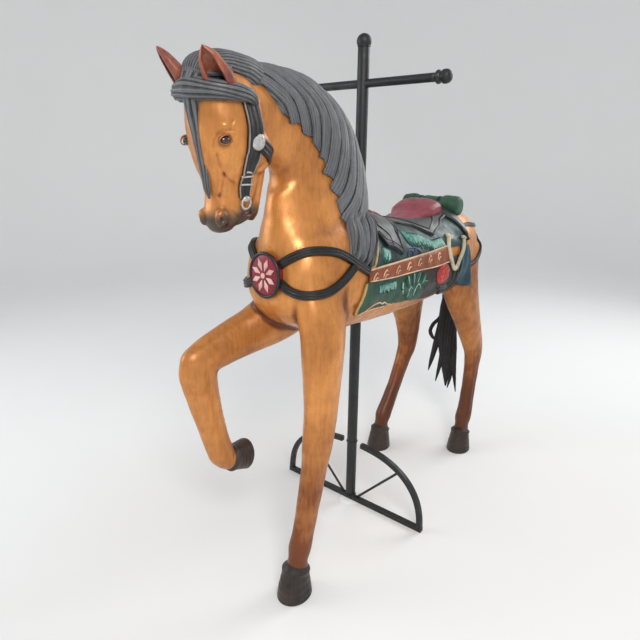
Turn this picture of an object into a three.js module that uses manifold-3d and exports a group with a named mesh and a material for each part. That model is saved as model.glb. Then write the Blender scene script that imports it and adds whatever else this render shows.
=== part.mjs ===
// A carved and painted carousel horse that marches on three hooves, on a steel pole whose arched foot
// stands across it. Millimetres, +Z up. The horse faces -Y, its left flank is +X, and the origin is on the
// floor on the pole's axis.
import * as THREE from 'three';
import { mergeVertices } from 'three/addons/utils/BufferGeometryUtils.js';
import Module from 'manifold-3d';

const wasm = await Module();
wasm.setup();

// Driving dimensions.
const CLEARANCE = 0.3; // between pieces that touch
const POLE_RADIUS = 20;
const POLE_TOP = 1728;
const BALL_RADIUS = 24.5;
const HANDLE_HEIGHT = 1617;
const HANDLE_RADIUS = 13.5;
const HANDLE_REACH = 322; // from the pole's axis to the tip of a knob
const KNOB_LENGTH = 48;
const KNOB_RADIUS = 21;
const FOOT_HALF = 338; // half the width of the foot
const FOOT_BAR = 20; // square section of the foot's bar and of its arch
const ARCH_TOP = 267; // crown of the arch, middle of its bar
const ARCH_POWER = 2.5; // the arch is half of a full-shouldered oval
const SPOKE_RADIUS = 5;
const SPOKE_START = 34; // from the pole's axis, on the foot's bar
const SPOKE_MEET = THREE.MathUtils.degToRad(39); // turn from the crown where a spoke meets the arch
const HOOF_SPOTS = {
  frontLeft: [160, -535],
  hindLeft: [174, 672],
  hindRight: [-144, 438],
};

// Materials.
const GOLD = { color: 0xb07a35, roughness: 0.35, metalness: 0.45 };
const STEEL = { color: 0x1b1d1f, roughness: 0.45, metalness: 0.3 };
const HAIR = { color: 0x0d0c0c, roughness: 0.8, metalness: 0 };

const X = new THREE.Vector3(1, 0, 0);
const Y = new THREE.Vector3(0, 1, 0);
const Z = new THREE.Vector3(0, 0, 1);
const TAU = 2 * Math.PI;

// ---- closed skins and solids ----

// A geometry from points and from triangles that name them.
function faces(points, triangles) {
  const geometry = new THREE.BufferGeometry();
  const numbers = points.flatMap((p) => [p.x, p.y, p.z]);
  geometry.setAttribute('position', new THREE.Float32BufferAttribute(numbers, 3));
  geometry.setIndex(triangles.flat());
  return geometry;
}

function toSolid(geometry) {
  const bare = geometry.clone();
  bare.deleteAttribute('normal');
  bare.deleteAttribute('uv');
  const merged = mergeVertices(bare, 1e-3);
  return new wasm.Manifold(new wasm.Mesh({
    numProp: 3,
    vertProperties: new Float32Array(merged.attributes.position.array),
    triVerts: new Uint32Array(merged.index.array),
  }));
}

function toGeometry(solid) {
  const mesh = solid.getMesh();
  const geometry = new THREE.BufferGeometry();
  geometry.setAttribute('position', new THREE.BufferAttribute(mesh.vertProperties, 3));
  geometry.setIndex(new THREE.BufferAttribute(mesh.triVerts, 1));
  geometry.computeVertexNormals();
  return geometry;
}

function joined(solids) {
  return solids.reduce((sum, solid) => sum.add(solid));
}

// Closed skin over rings of equal count, each end closed by a fan on the middle of its ring.
function skin(rings) {
  const sides = rings[0].length;
  const points = rings.flat();
  const triangles = [];
  for (let i = 0; i + 1 < rings.length; i += 1) {
    for (let j = 0; j < sides; j += 1) {
      const k = (j + 1) % sides;
      const [a, b, c, d] = [i * sides + j, i * sides + k, (i + 1) * sides + j, (i + 1) * sides + k];
      triangles.push([a, c, b], [b, c, d]);
    }
  }
  [0, rings.length - 1].forEach((i) => {
    const middle = new THREE.Vector3();
    rings[i].forEach((p) => middle.addScaledVector(p, 1 / sides));
    points.push(middle);
    for (let j = 0; j < sides; j += 1) {
      const k = (j + 1) % sides;
      const [a, b] = [i * sides + j, i * sides + k];
      triangles.push(i === 0 ? [points.length - 1, a, b] : [points.length - 1, b, a]);
    }
  });
  return faces(points, triangles);
}

// Closed skin of a sheet: point(s, t, side) gives its outer face at side 1 and its inner face at side 0. The
// inner face, buried in what carries the sheet, has fewer columns.
function sheet(point, rows, columns, innerColumns = 2) {
  const rings = [];
  for (let i = 0; i <= rows; i += 1) {
    const ring = [];
    for (let j = 0; j <= columns; j += 1) {
      ring.push(point(i / rows, j / columns, 1));
    }
    for (let j = innerColumns; j >= 0; j -= 1) {
      ring.push(point(i / rows, j / innerColumns, 0));
    }
    rings.push(ring);
  }
  return toSolid(skin(rings));
}

// ---- limbs: an oval carried along a smooth spine ----

// The spine and the sizes through the stations [x, y, z, wide, deep]: wide is half across and deep is half
// of the other way.
function spine(stations) {
  const path = new THREE.CatmullRomCurve3(stations.map(([x, y, z]) => new THREE.Vector3(x, y, z)));
  const size = new THREE.CatmullRomCurve3(stations.map(([, , , wide, deep]) => new THREE.Vector3(wide, deep, 0)));
  return { path, size };
}

// The point of a limb at u along it and at an angle round it, with an extra lift off its skin.
function onLimb(limb, u, angle, lift = 0) {
  const { across = X, power = 2 } = limb;
  const middle = limb.path.getPoint(u);
  const { x: wide, y: deep } = limb.size.getPoint(u);
  const along = limb.path.getTangent(u);
  const side = across.clone().addScaledVector(along, -across.dot(along)).normalize();
  const rise = new THREE.Vector3().crossVectors(side, along);
  const square = (v) => Math.sign(v) * Math.abs(v) ** (2 / power);
  const [c, s] = [square(Math.cos(angle)), square(Math.sin(angle))];
  return middle
    .addScaledVector(side, (wide + lift) * c)
    .addScaledVector(rise, (deep + lift) * s);
}

function limb(stations, steps, sides, { turn = 0, ...options } = {}) {
  const shape = { ...spine(stations), ...options };
  const rings = [];
  for (let i = 0; i <= steps; i += 1) {
    const ring = [];
    for (let j = 0; j < sides; j += 1) {
      ring.push(onLimb(shape, i / steps, turn + (j / sides) * TAU));
    }
    rings.push(ring);
  }
  return toSolid(skin(rings));
}

// ---- the horse's body ----

const BARREL = [
  [0, -462, 1036, 84, 78],
  [0, -448, 1034, 112, 112],
  [0, -410, 1030, 144, 148],
  [0, -340, 1022, 170, 172],
  [0, -230, 1008, 184, 196],
  [0, -90, 1000, 184, 196],
  [0, 90, 978, 186, 182],
  [0, 280, 970, 188, 172],
  [0, 430, 984, 192, 178],
  [0, 560, 998, 192, 180],
  [0, 670, 995, 172, 166],
  [0, 745, 980, 128, 132],
  [0, 790, 966, 62, 74],
];
const NECK = [
  [0, -290, 960, 150, 170],
  [0, -264, 1085, 138, 210],
  [0, -245, 1190, 108, 214],
  [0, -250, 1290, 92, 208],
  [0, -287, 1385, 82, 182],
  [0, -352, 1448, 76, 144],
  [0, -445, 1482, 72, 118],
  [0, -545, 1502, 68, 94],
  [0, -620, 1516, 58, 74],
];
const HEAD = [
  [0, -600, 1588, 36, 30],
  [0, -606, 1566, 62, 66],
  [0, -614, 1520, 88, 98],
  [0, -614, 1450, 93, 98],
  [0, -608, 1390, 80, 96],
  [0, -604, 1330, 62, 86],
  [0, -616, 1275, 50, 68],
  [0, -634, 1235, 47, 48],
  [0, -638, 1206, 42, 38],
  [0, -634, 1190, 24, 22],
];
const JAW = [
  [0, -556, 1430, 62, 58],
  [0, -548, 1375, 62, 52],
  [0, -542, 1320, 50, 42],
  [0, -542, 1270, 38, 32],
  [0, -550, 1236, 36, 32],
  [0, -554, 1212, 24, 22],
];
const MEDALLION = { y: -462, z: 1040, wide: 46, tall: 62, thick: 11 };
const barrel = { ...spine(BARREL), power: 2.3 };
const crest = spine(NECK);

// A leg down to its hoof: the stations of the leg, then pastern, coronet and flared hoof over its spot.
function standingLeg(stations, [x, y]) {
  const leg = limb([...stations, [x, y + 18, 125, 31, 35], [x, y + 12, 95, 38, 42]], 13, 10);
  const hoof = limb([
    [x, y + 14, 112, 30, 36],
    [x, y + 10, 100, 41, 46],
    [x, y + 6, 80, 43, 49],
    [x, y, 34, 50, 58],
    [x, y - 2, -10, 55, 64],
  ], 4, 10);
  return leg.add(hoof);
}

function legs() {
  const frontLeft = standingLeg([
    [86, -340, 1080, 50, 90],
    [112, -352, 960, 61, 102],
    [138, -371, 860, 60, 88],
    [150, -386, 760, 55, 78],
    [156, -398, 640, 50, 64],
    [159, -413, 545, 49, 56],
    [161, -423, 500, 46, 53],
    [162, -441, 420, 39, 46],
    [162, -470, 300, 35, 42],
    [162, -493, 215, 33, 39],
    [160, -506, 165, 36, 41],
  ], HOOF_SPOTS.frontLeft);
  const hindLeft = standingLeg([
    [104, 620, 1010, 84, 146],
    [120, 626, 880, 76, 118],
    [136, 652, 770, 66, 94],
    [150, 696, 660, 55, 73],
    [160, 744, 560, 43, 68],
    [165, 766, 495, 39, 60],
    [168, 758, 420, 33, 45],
    [171, 736, 300, 31, 39],
    [174, 710, 200, 34, 41],
    [174, 698, 165, 36, 42],
  ], HOOF_SPOTS.hindLeft);
  const hindRight = standingLeg([
    [-98, 580, 1000, 84, 154],
    [-116, 572, 870, 82, 156],
    [-124, 604, 760, 68, 127],
    [-132, 640, 650, 54, 94],
    [-136, 658, 550, 43, 76],
    [-138, 656, 480, 39, 64],
    [-140, 622, 410, 33, 48],
    [-142, 556, 290, 31, 39],
    [-144, 492, 195, 34, 41],
    [-144, 470, 160, 36, 42],
  ], HOOF_SPOTS.hindRight);
  const forearm = limb([
    [-80, -280, 896, 74, 110],
    [-104, -352, 856, 70, 94],
    [-122, -440, 828, 60, 77],
    [-132, -530, 806, 51, 68],
    [-138, -616, 784, 45, 60],
    [-140, -664, 770, 40, 52],
    [-140, -686, 762, 26, 34],
  ], 7, 10);
  const shin = limb([
    [-140, -634, 806, 28, 38],
    [-140, -636, 784, 40, 58],
    [-140, -640, 740, 42, 66],
    [-139, -628, 660, 36, 58],
    [-138, -606, 560, 34, 50],
    [-137, -586, 480, 34, 46],
    [-136, -570, 430, 36, 46],
    [-135, -552, 400, 34, 38],
    [-135, -528, 388, 36, 38],
  ], 9, 10);
  const foldedHoof = limb([
    [-135, -546, 394, 30, 34],
    [-135, -532, 390, 40, 42],
    [-135, -500, 384, 45, 48],
    [-134, -466, 378, 49, 55],
  ], 3, 10);
  return [frontLeft, hindLeft, hindRight, forearm, shin, foldedHoof];
}

// ---- head: ears, eyes, nostrils, forelock ----

const EAR_DROP = { left: 15, right: 0 }; // the left ear is carved a little lower

function ball([x, y, z], [a, b, c], sides = 8) {
  const geometry = new THREE.SphereGeometry(1, sides, Math.round(sides * 0.7));
  geometry.scale(a, b, c);
  geometry.translate(x, y, z);
  return toSolid(geometry);
}

function ear(side, drop) {
  const shell = limb([
    [62 * side, -668, 1520, 22, 22],
    [70 * side, -680, 1548 - drop / 3, 35, 24],
    [76 * side, -706, 1582 - drop, 32, 18],
    [81 * side, -730, 1612 - drop, 18, 10],
    [83 * side, -742, 1628 - drop, 4, 3],
  ], 5, 8);
  const hollow = limb([
    [72 * side, -706, 1550 - drop / 2, 12, 8],
    [75 * side, -714, 1566 - drop, 19, 12],
    [79 * side, -730, 1592 - drop, 15, 9],
    [82 * side, -742, 1612 - drop, 6, 5],
  ], 3, 6);
  return shell.subtract(hollow);
}

// Eyes, nostrils and ears, alike on both sides.
function headDetails(bare) {
  let carved = bare;
  [1, -1].forEach((side) => {
    carved = carved.add(ball([70 * side, -678, 1417], [14, 17, 13]));
    carved = carved.subtract(ball([42 * side, -664, 1222], [12, 13, 14]));
    carved = carved.add(ear(side, side > 0 ? EAR_DROP.left : EAR_DROP.right));
  });
  return carved;
}

// Roll of hair round the ears, the tuft between them and the lock that hangs down the face.
function forelock() {
  const roll = limb([
    [-94, -640, 1534, 12, 16],
    [-80, -684, 1530, 21, 23],
    [0, -714, 1534, 28, 32],
    [80, -684, 1530, 21, 23],
    [94, -640, 1534, 12, 16],
  ], 10, 8, { across: Z });
  const tuft = ball([0, -648, 1570], [62, 62, 38]);
  const lock = limb([
    [0, -708, 1550, 28, 20],
    [0, -706, 1490, 21, 18],
    [1, -700, 1430, 15, 14],
    [3, -692, 1370, 12, 12],
    [5, -686, 1310, 9, 11],
    [6, -682, 1280, 3, 4],
  ], 6, 6);
  return [roll, tuft, lock];
}

// ---- mane: locks carved over the crest of the neck ----

const MANE_ROWS = 30; // two to each lock
const SHOULDER_ROWS = 10; // of the last locks, which lie over the shoulder
const MANE_DEPTH = 9; // depth of the grooves between locks
const MANE_THICK = 24;
const MANE_SWEEP = 0.24; // how far along the neck the first lock runs back as it comes down
const MANE_HANG = new THREE.SplineCurve([
  [0, 1.1], [0.2, 1.5], [0.4, 1.66], [0.6, 1.7], [0.8, 1.56], [1, 1.15],
].map(([s, angle]) => new THREE.Vector2(s, angle))); // angle from the crest to the free edge

// The mane runs from between the ears to the saddle. Each lock starts at the crest and runs back as it comes
// down. The free edge hangs low on the left side, and on the right it ends nearer the crest.
function mane() {
  const point = (s, t, side) => {
    const row = Math.round(s * MANE_ROWS);
    const left = 1 - t * 1.3;
    const fall = left > 0 ? left : -left * 2.4;
    const back = s + MANE_SWEEP * fall ** 1.3 * (1 - s);
    const hang = MANE_HANG.getPoint(back).y + (row % 4 < 2 ? 0.07 : 0);
    const angle = -Math.PI / 2 + hang * left;
    const rim = Math.min(1, 6 * Math.min(t, 1 - t), 12 * s);
    const ridge = row % 2 ? MANE_DEPTH : 0;
    const lift = side ? (MANE_THICK - ridge) * (0.3 + 0.7 * rim) : -20;
    return onLimb(crest, 1 - 0.9 * back, angle, lift);
  };
  const { lerp } = THREE.MathUtils;
  const shoulder = (s, up, side) => {
    const row = Math.round(s * SHOULDER_ROWS);
    const y = lerp(lerp(-290, -225, up), lerp(-200, -45, up), s);
    const z = lerp(lerp(1095, 1042, s) - (row % 4 < 2 ? 0 : 9), 1183, up);
    return onFlank(y, z, side ? (row % 2 ? 6 : 15) + 8 * up : -12);
  };
  return sheet(point, MANE_ROWS, 12).add(sheet(shoulder, SHOULDER_ROWS, 5));
}

// ---- saddle, cloths and straps ----

function saddle() {
  const seat = limb([
    [0, 34, 1150, 30, 34],
    [0, 52, 1172, 50, 28],
    [0, 96, 1140, 90, 26],
    [0, 190, 1130, 112, 28],
    [0, 280, 1130, 120, 29],
    [0, 335, 1138, 122, 38],
    [0, 385, 1156, 120, 50],
    [0, 440, 1170, 104, 53],
    [0, 478, 1166, 84, 44],
    [0, 496, 1158, 60, 28],
  ], 11, 12, { power: 2.4 });
  const roll = limb([
    [-132, 552, 1188, 26, 26],
    [-126, 552, 1190, 38, 38],
    [-84, 546, 1194, 39, 39],
    [-44, 540, 1194, 29, 29],
    [44, 540, 1194, 29, 29],
    [84, 546, 1194, 39, 39],
    [126, 552, 1190, 38, 38],
    [132, 552, 1188, 26, 26],
  ], 9, 10, { across: Y });
  return [seat, roll];
}

// Place along the barrel's spine where it passes y.
function stationAt(y) {
  let [low, high] = [0, 1];
  for (let i = 0; i < 24; i += 1) {
    const middle = (low + high) / 2;
    [low, high] = barrel.path.getPoint(middle).y < y ? [middle, high] : [low, middle];
  }
  return low;
}

// The point of the flank at y and z, lifted off the barrel's skin. The barrel's middle is its upper limit.
function onFlank(y, z, lift, side = 1) {
  const u = stationAt(y);
  const middle = barrel.path.getPoint(u);
  const { x: wide, y: tall } = barrel.size.getPoint(u);
  const rise = Math.min(1, Math.abs(z - middle.z) / (tall + lift));
  const x = (wide + lift) * (1 - rise ** barrel.power) ** (1 / barrel.power);
  return new THREE.Vector3(side * x, y, z);
}

// A flat strap of rectangular section along points that lie on the skin.
function strap(points, halfWidth, thick, steps, across) {
  const stations = points.map((p) => [p.x, p.y, p.z, halfWidth * Math.SQRT2, thick * Math.SQRT2]);
  return limb(stations, steps, 4, { across, turn: Math.PI / 4 });
}

const BREAST_START = -425;
const BREAST_END = -195;
const BREAST_HEIGHT = 1034; // where the two breast straps meet at the side
const BREAST_BOW = { up: 96, down: 62 }; // how far each breast strap bows away from that height
const STRAP_HALF = 15;
const STRAP_THICK = 6; // half of it is let into the wood
const BELT_END = 430;
const BELT_RISE = 26;
const STEPS = [0, 0.25, 0.5, 0.75, 1];

function straps() {
  const solids = [];
  const { lerp } = THREE.MathUtils;
  [1, -1].forEach((side) => {
    const upper = (s) => BREAST_HEIGHT + BREAST_BOW.up * Math.cos((Math.PI / 2) * s ** 1.3);
    const lower = (s) => BREAST_HEIGHT - BREAST_BOW.down * Math.sin(Math.PI * (0.38 + 0.62 * s));
    [[upper, 1], [lower, -1]].forEach(([height, up]) => {
      const start = new THREE.Vector3(side * MEDALLION.wide * 0.8, MEDALLION.y, MEDALLION.z + up * 36);
      const corner = new THREE.Vector3(side * 96, MEDALLION.y + 8, lerp(start.z, height(0), 0.6));
      const lift = up > 0 ? 3 : 8;
      const bow = STEPS.map((s) => onFlank(lerp(BREAST_START, BREAST_END, s), height(s), lift, side));
      solids.push(strap([start, corner, ...bow], STRAP_HALF, STRAP_THICK, 8, Z));
    });
    const belt = STEPS.map((s) => {
      const height = BREAST_HEIGHT - 14 + BELT_RISE * s * s;
      return onFlank(lerp(BREAST_END, BELT_END, s), height, CLOTH.lift + 3, side);
    });
    solids.push(strap(belt, STRAP_HALF + 3, STRAP_THICK, 5, Z));
    const shoe = STEPS.map((s) => {
      const turn = Math.PI * (0.9 + 1.2 * s);
      return onFlank(430 + 34 * Math.cos(turn), 1022 + 66 * Math.sin(turn), 17, side);
    });
    solids.push(strap(shoe, 8, STRAP_THICK, 8, X));
    const breeching = STEPS.map((s) => onFlank(575 + 150 * s, 1056 - 80 * s, 3, side));
    solids.push(strap(breeching, STRAP_HALF - 2, STRAP_THICK, 4, Z));
  });
  return solids;
}

// ---- the barrel with its cloths ----

const CLOTH = { lift: 7, front: -95, slant: -135, rear: 600 };
const SKIRT = { lift: 16, front: 18, slant: -20, rear: 548 };
const HEM_STEP = 3; // run of the step at an edge of a cloth
const SKIRT_HEM = [1120, 1096, 1146, 1128, 1106, 1090, 1112, 1148, 1118, 1062]; // zigzag, front to rear
const BARE_FRONT = [-462, -448, -425, -390, -335, -270];
const BARE_REAR = [650, 700, 745, 775, 790];
const COLUMNS = 3; // from keel to blanket hem, from there to skirt hem, and from there to the back

function blanketHem(y) {
  return 903 - 20 * THREE.MathUtils.smoothstep(y, -200, 100) - 20 * THREE.MathUtils.smoothstep(y, 100, 600);
}

// The barrel's skin in rows along it. The blanket and the skirt are raised steps, whose hems lie on the
// columns.
function coatedBarrel() {
  const rows = BARE_FRONT.map((y) => ({ y, cloth: 0, skirt: 0, slant: 0 }));
  const edge = (y, slant, before, after) => {
    rows.push({ y, slant, ...before }, { y: y + HEM_STEP, slant, ...after });
  };
  edge(CLOTH.front, CLOTH.slant, { cloth: 0, skirt: 0 }, { cloth: 1, skirt: 0 });
  edge(SKIRT.front, SKIRT.slant, { cloth: 1, skirt: 0 }, { cloth: 1, skirt: 1 });
  const span = (SKIRT.rear - SKIRT.front) / (SKIRT_HEM.length - 1);
  for (let i = 1; i < SKIRT_HEM.length - 1; i += 1) {
    rows.push({ y: SKIRT.front + i * span, cloth: 1, skirt: 1, slant: 0 });
  }
  edge(SKIRT.rear, 0, { cloth: 1, skirt: 1 }, { cloth: 1, skirt: 0 });
  edge(CLOTH.rear, 0, { cloth: 1, skirt: 0 }, { cloth: 0, skirt: 0 });
  BARE_REAR.forEach((y) => rows.push({ y, cloth: 0, skirt: 0, slant: 0 }));
  return skin(rows.map(barrelRow));
}

function hemAngle(u, height) {
  const middle = barrel.path.getPoint(u);
  const { y: tall } = barrel.size.getPoint(u);
  const rise = THREE.MathUtils.clamp((height - middle.z) / tall, -0.9, 0.9);
  return Math.asin(Math.sign(rise) * Math.abs(rise) ** (barrel.power / 2));
}

// One ring of the barrel: up the left side from the keel, and down the right side.
function barrelRow({ y, cloth, skirt, slant }) {
  const u = stationAt(y);
  const span = (y - SKIRT.front) / (SKIRT.rear - SKIRT.front);
  const index = Math.round(THREE.MathUtils.clamp(span, 0, 1) * (SKIRT_HEM.length - 1));
  const low = hemAngle(u, blanketHem(y));
  const high = hemAngle(u, SKIRT_HEM[index]);
  const half = [];
  const run = (from, to, lift) => {
    for (let j = 0; j <= COLUMNS; j += 1) {
      half.push({ angle: THREE.MathUtils.lerp(from, to, j / COLUMNS), lift });
    }
  };
  const step = HEM_STEP / 180;
  run(-Math.PI / 2, low - step, 0);
  run(low, high - step, cloth * CLOTH.lift);
  run(high, Math.PI / 2, skirt ? SKIRT.lift : cloth * CLOTH.lift);
  const rightSide = half.slice(1, -1).reverse().map(({ angle, lift }) => ({ angle: Math.PI - angle, lift }));
  return [...half, ...rightSide].map(({ angle, lift }) => {
    const down = THREE.MathUtils.clamp((1 - Math.sin(angle)) / 1.6, 0, 1);
    return onLimb(barrel, stationAt(y + slant * down), angle, lift);
  });
}

const PETALS = 8;

// Oval boss on the breast with a flower of eight petals.
function medallion() {
  const { y, z, wide, tall, thick } = MEDALLION;
  const disc = limb([
    [0, y + 40, z, wide - 2, tall - 2],
    [0, y - thick * 0.4, z, wide, tall],
    [0, y - thick, z, wide - 8, tall - 8],
  ], 3, 16);
  const petals = [];
  for (let i = 0; i < PETALS; i += 1) {
    const turn = (i / PETALS) * TAU;
    const at = (r) => [r * Math.cos(turn), y - thick - 1, z + 1.3 * r * Math.sin(turn)];
    petals.push(limb([[...at(5), 2, 3], [...at(16), 5, 4], [...at(27), 1, 1]], 2, 4, { across: Y }));
  }
  return [disc, ...petals];
}

// Bridle: a cheek strap from the ear to the bit on each side, with a round boss, and the throat strap
// behind it.
function bridle() {
  const solids = [];
  [1, -1].forEach((side) => {
    const cheek = limb([
      [74 * side, -640, 1530, 16, 8],
      [85 * side, -624, 1470, 16, 8],
      [82 * side, -608, 1420, 15, 8],
      [70 * side, -612, 1360, 13, 8],
      [55 * side, -622, 1300, 12, 8],
      [46 * side, -624, 1262, 11, 8],
    ], 6, 6, { across: Y });
    const throat = limb([
      [72 * side, -600, 1530, 7, 10],
      [76 * side, -560, 1450, 7, 12],
      [76 * side, -534, 1392, 7, 12],
      [60 * side, -510, 1360, 7, 12],
    ], 4, 6, { across: X });
    const ring = new THREE.TorusGeometry(17, 5, 5, 8).rotateY(Math.PI / 2).translate(47 * side, -606, 1246);
    solids.push(cheek, throat, ball([86 * side, -588, 1420], [7, 15, 17]), toSolid(ring));
  });
  return solids;
}

// ---- tail: horsehair tied at the top and loose below ----

const TAIL = [
  [0, 772, 1080, 18, 20],
  [0, 814, 1076, 22, 24],
  [-2, 846, 1030, 24, 26],
  [-6, 852, 900, 22, 24],
  [-10, 844, 760, 32, 30],
  [-10, 834, 640, 48, 40],
  [-4, 828, 500, 52, 40],
  [6, 824, 360, 34, 28],
  [12, 822, 240, 8, 8],
];
const TAIL_WISPS = [
  [[-34, 834, 620, 22, 22], [-70, 832, 500, 24, 22], [-66, 828, 400, 16, 16], [-92, 820, 300, 5, 5]],
  [[24, 830, 560, 26, 22], [44, 824, 440, 26, 20], [66, 818, 330, 15, 14], [72, 816, 225, 4, 4]],
];

const TAIL_RINGS = 13;
const TAIL_STRANDS = 6;

// Strands twist down the tail as ridges round it.
function tailHair() {
  const shape = spine(TAIL);
  const rings = [];
  for (let i = 0; i <= TAIL_RINGS; i += 1) {
    const ring = [];
    for (let j = 0; j < TAIL_STRANDS * 2; j += 1) {
      const angle = ((j + i * 0.35) / (TAIL_STRANDS * 2)) * TAU;
      const groove = j % 2 && i > 1 && i < TAIL_RINGS ? -6 : 0;
      ring.push(onLimb(shape, i / TAIL_RINGS, angle, groove));
    }
    rings.push(ring);
  }
  const wisps = TAIL_WISPS.map((stations) => limb(stations, 5, 7));
  return joined([toSolid(skin(rings)), ...wisps]);
}

// ---- the stand ----

function lathe(profile, sides = 14) {
  const points = profile.map(([x, y]) => new THREE.Vector2(x, y));
  return new THREE.LatheGeometry(points, sides).rotateX(Math.PI / 2);
}

// Ball finial with a flat below, on the pole's top.
function poleBall() {
  const centre = POLE_TOP + 17;
  const base = POLE_TOP + CLEARANCE;
  const profile = [[0, base], [POLE_RADIUS + 1.5, base]];
  for (let i = 1; i <= 6; i += 1) {
    const turn = THREE.MathUtils.lerp(-0.62, Math.PI / 2, i / 6);
    profile.push([BALL_RADIUS * Math.cos(turn), centre + BALL_RADIUS * Math.sin(turn)]);
  }
  profile[profile.length - 1][0] = 0;
  return lathe(profile);
}

// Handle knob turned on the handle's axis: a collar ring, a groove and a domed cap.
function knob(side) {
  const start = HANDLE_REACH - KNOB_LENGTH;
  const profile = [
    [0, start], [16, start], [20, start + 4], [20, start + 9], [15, start + 13], [15, start + 17],
    [KNOB_RADIUS, start + 22], [KNOB_RADIUS, start + 34], [15, start + 44], [0, HANDLE_REACH],
  ];
  return lathe(profile, 12).rotateY((side * Math.PI) / 2).translate(0, 0, HANDLE_HEIGHT);
}

// A point of the foot's arch at a turn from its crown, on the middle of its bar.
function archPoint(side, turn) {
  const half = FOOT_HALF - FOOT_BAR / 2;
  const x = half * Math.sin(turn) ** (2 / ARCH_POWER);
  return new THREE.Vector3(side * x, 0, ARCH_TOP * Math.cos(turn) ** (2 / ARCH_POWER));
}

// Half of the arch, from its crown down to the foot's bar.
function archCurve(side) {
  const points = [];
  for (let i = 0; i < 14; i += 1) {
    points.push(archPoint(side, (i / 14) * (Math.PI / 2)));
  }
  points.push(new THREE.Vector3(side * (FOOT_HALF - FOOT_BAR / 2), 0, FOOT_BAR / 2));
  return new THREE.CatmullRomCurve3(points, false, 'catmullrom', 0.4);
}

function archBar(side, half) {
  const outline = new THREE.Shape([
    new THREE.Vector2(-half, -half), new THREE.Vector2(half, -half),
    new THREE.Vector2(half, half), new THREE.Vector2(-half, half),
  ]);
  const path = { steps: 16, extrudePath: archCurve(side), bevelEnabled: false };
  return toSolid(new THREE.ExtrudeGeometry(outline, path));
}

function cylinderZ(radius, low, high, sides = 20) {
  return new THREE.CylinderGeometry(radius, radius, high - low, sides)
    .rotateX(Math.PI / 2).translate(0, 0, (high + low) / 2);
}

const shaft = toSolid(cylinderZ(POLE_RADIUS, FOOT_BAR + CLEARANCE, POLE_TOP));
const shaftRoom = toSolid(cylinderZ(POLE_RADIUS + CLEARANCE, -10, POLE_TOP + 10));

function rod(radius) {
  const length = 2 * (HANDLE_REACH - KNOB_LENGTH - CLEARANCE);
  const geometry = new THREE.CylinderGeometry(radius, radius, length, 18);
  return toSolid(geometry.rotateZ(Math.PI / 2).translate(0, 0, HANDLE_HEIGHT));
}

const barRoom = toSolid(new THREE.BoxGeometry(3 * FOOT_HALF, 2 * FOOT_BAR, 2 * (FOOT_BAR + CLEARANCE)));

// Thin rod from the foot's bar up to the arch.
function spoke(side) {
  const start = new THREE.Vector3(side * SPOKE_START, 0, FOOT_BAR - 2);
  const reach = archPoint(side, SPOKE_MEET).sub(start);
  const geometry = new THREE.CylinderGeometry(SPOKE_RADIUS, SPOKE_RADIUS, reach.length(), 10)
    .applyQuaternion(new THREE.Quaternion().setFromUnitVectors(Y, reach.clone().normalize()))
    .translate(...start.addScaledVector(reach, 0.5).toArray());
  return toSolid(geometry)
    .subtract(shaftRoom)
    .subtract(barRoom)
    .subtract(archBar(side, FOOT_BAR / 2 + CLEARANCE));
}

// ---- the pieces ----

const horse = new THREE.Group();

function place(name, geometry, finish) {
  const mesh = new THREE.Mesh(geometry, new THREE.MeshStandardMaterial(finish));
  mesh.name = name;
  horse.add(mesh);
}

const head = headDetails(limb(HEAD, 11, 14, { power: 2.3 }).add(limb(JAW, 6, 10)));
const carving = joined([
  toSolid(coatedBarrel()), limb(NECK, 10, 16), head, ...legs(), ...forelock(), mane(), ...saddle(),
  ...straps(), ...medallion(), ...bridle(),
]);
const rump = BARREL.slice(-4).map(([x, y, z, wide, tall]) => [x, y + 4, z, wide + 4, tall + 4]);
const tailRoom = limb(rump, 12, 24, { power: barrel.power });

const footBar = new THREE.BoxGeometry(2 * FOOT_HALF, FOOT_BAR, FOOT_BAR).translate(0, 0, FOOT_BAR / 2);
const floorRoom = toSolid(new THREE.BoxGeometry(1000, 2000, 100).translate(0, 0, -50));

place('horse', toGeometry(carving.subtract(shaftRoom).subtract(floorRoom)), GOLD);
place('tail', toGeometry(tailHair().subtract(tailRoom)), HAIR);
place('pole', toGeometry(shaft.subtract(rod(HANDLE_RADIUS + CLEARANCE))), STEEL);
place('pole_ball', poleBall(), STEEL);
place('handle_bar', toGeometry(rod(HANDLE_RADIUS)), STEEL);
place('foot_bar', footBar, STEEL);
[['left', 1], ['right', -1]].forEach(([name, side]) => {
  place(`handle_knob_${name}`, knob(side), STEEL);
  const arch = archBar(side, FOOT_BAR / 2).subtract(shaftRoom).subtract(barRoom);
  place(`foot_arch_${name}`, toGeometry(arch), STEEL);
  place(`foot_spoke_${name}`, toGeometry(spoke(side)), STEEL);
});

export default horse;
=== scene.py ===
import math

import bmesh
import bpy
import numpy as np
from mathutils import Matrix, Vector
from mathutils.bvhtree import BVHTree


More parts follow.
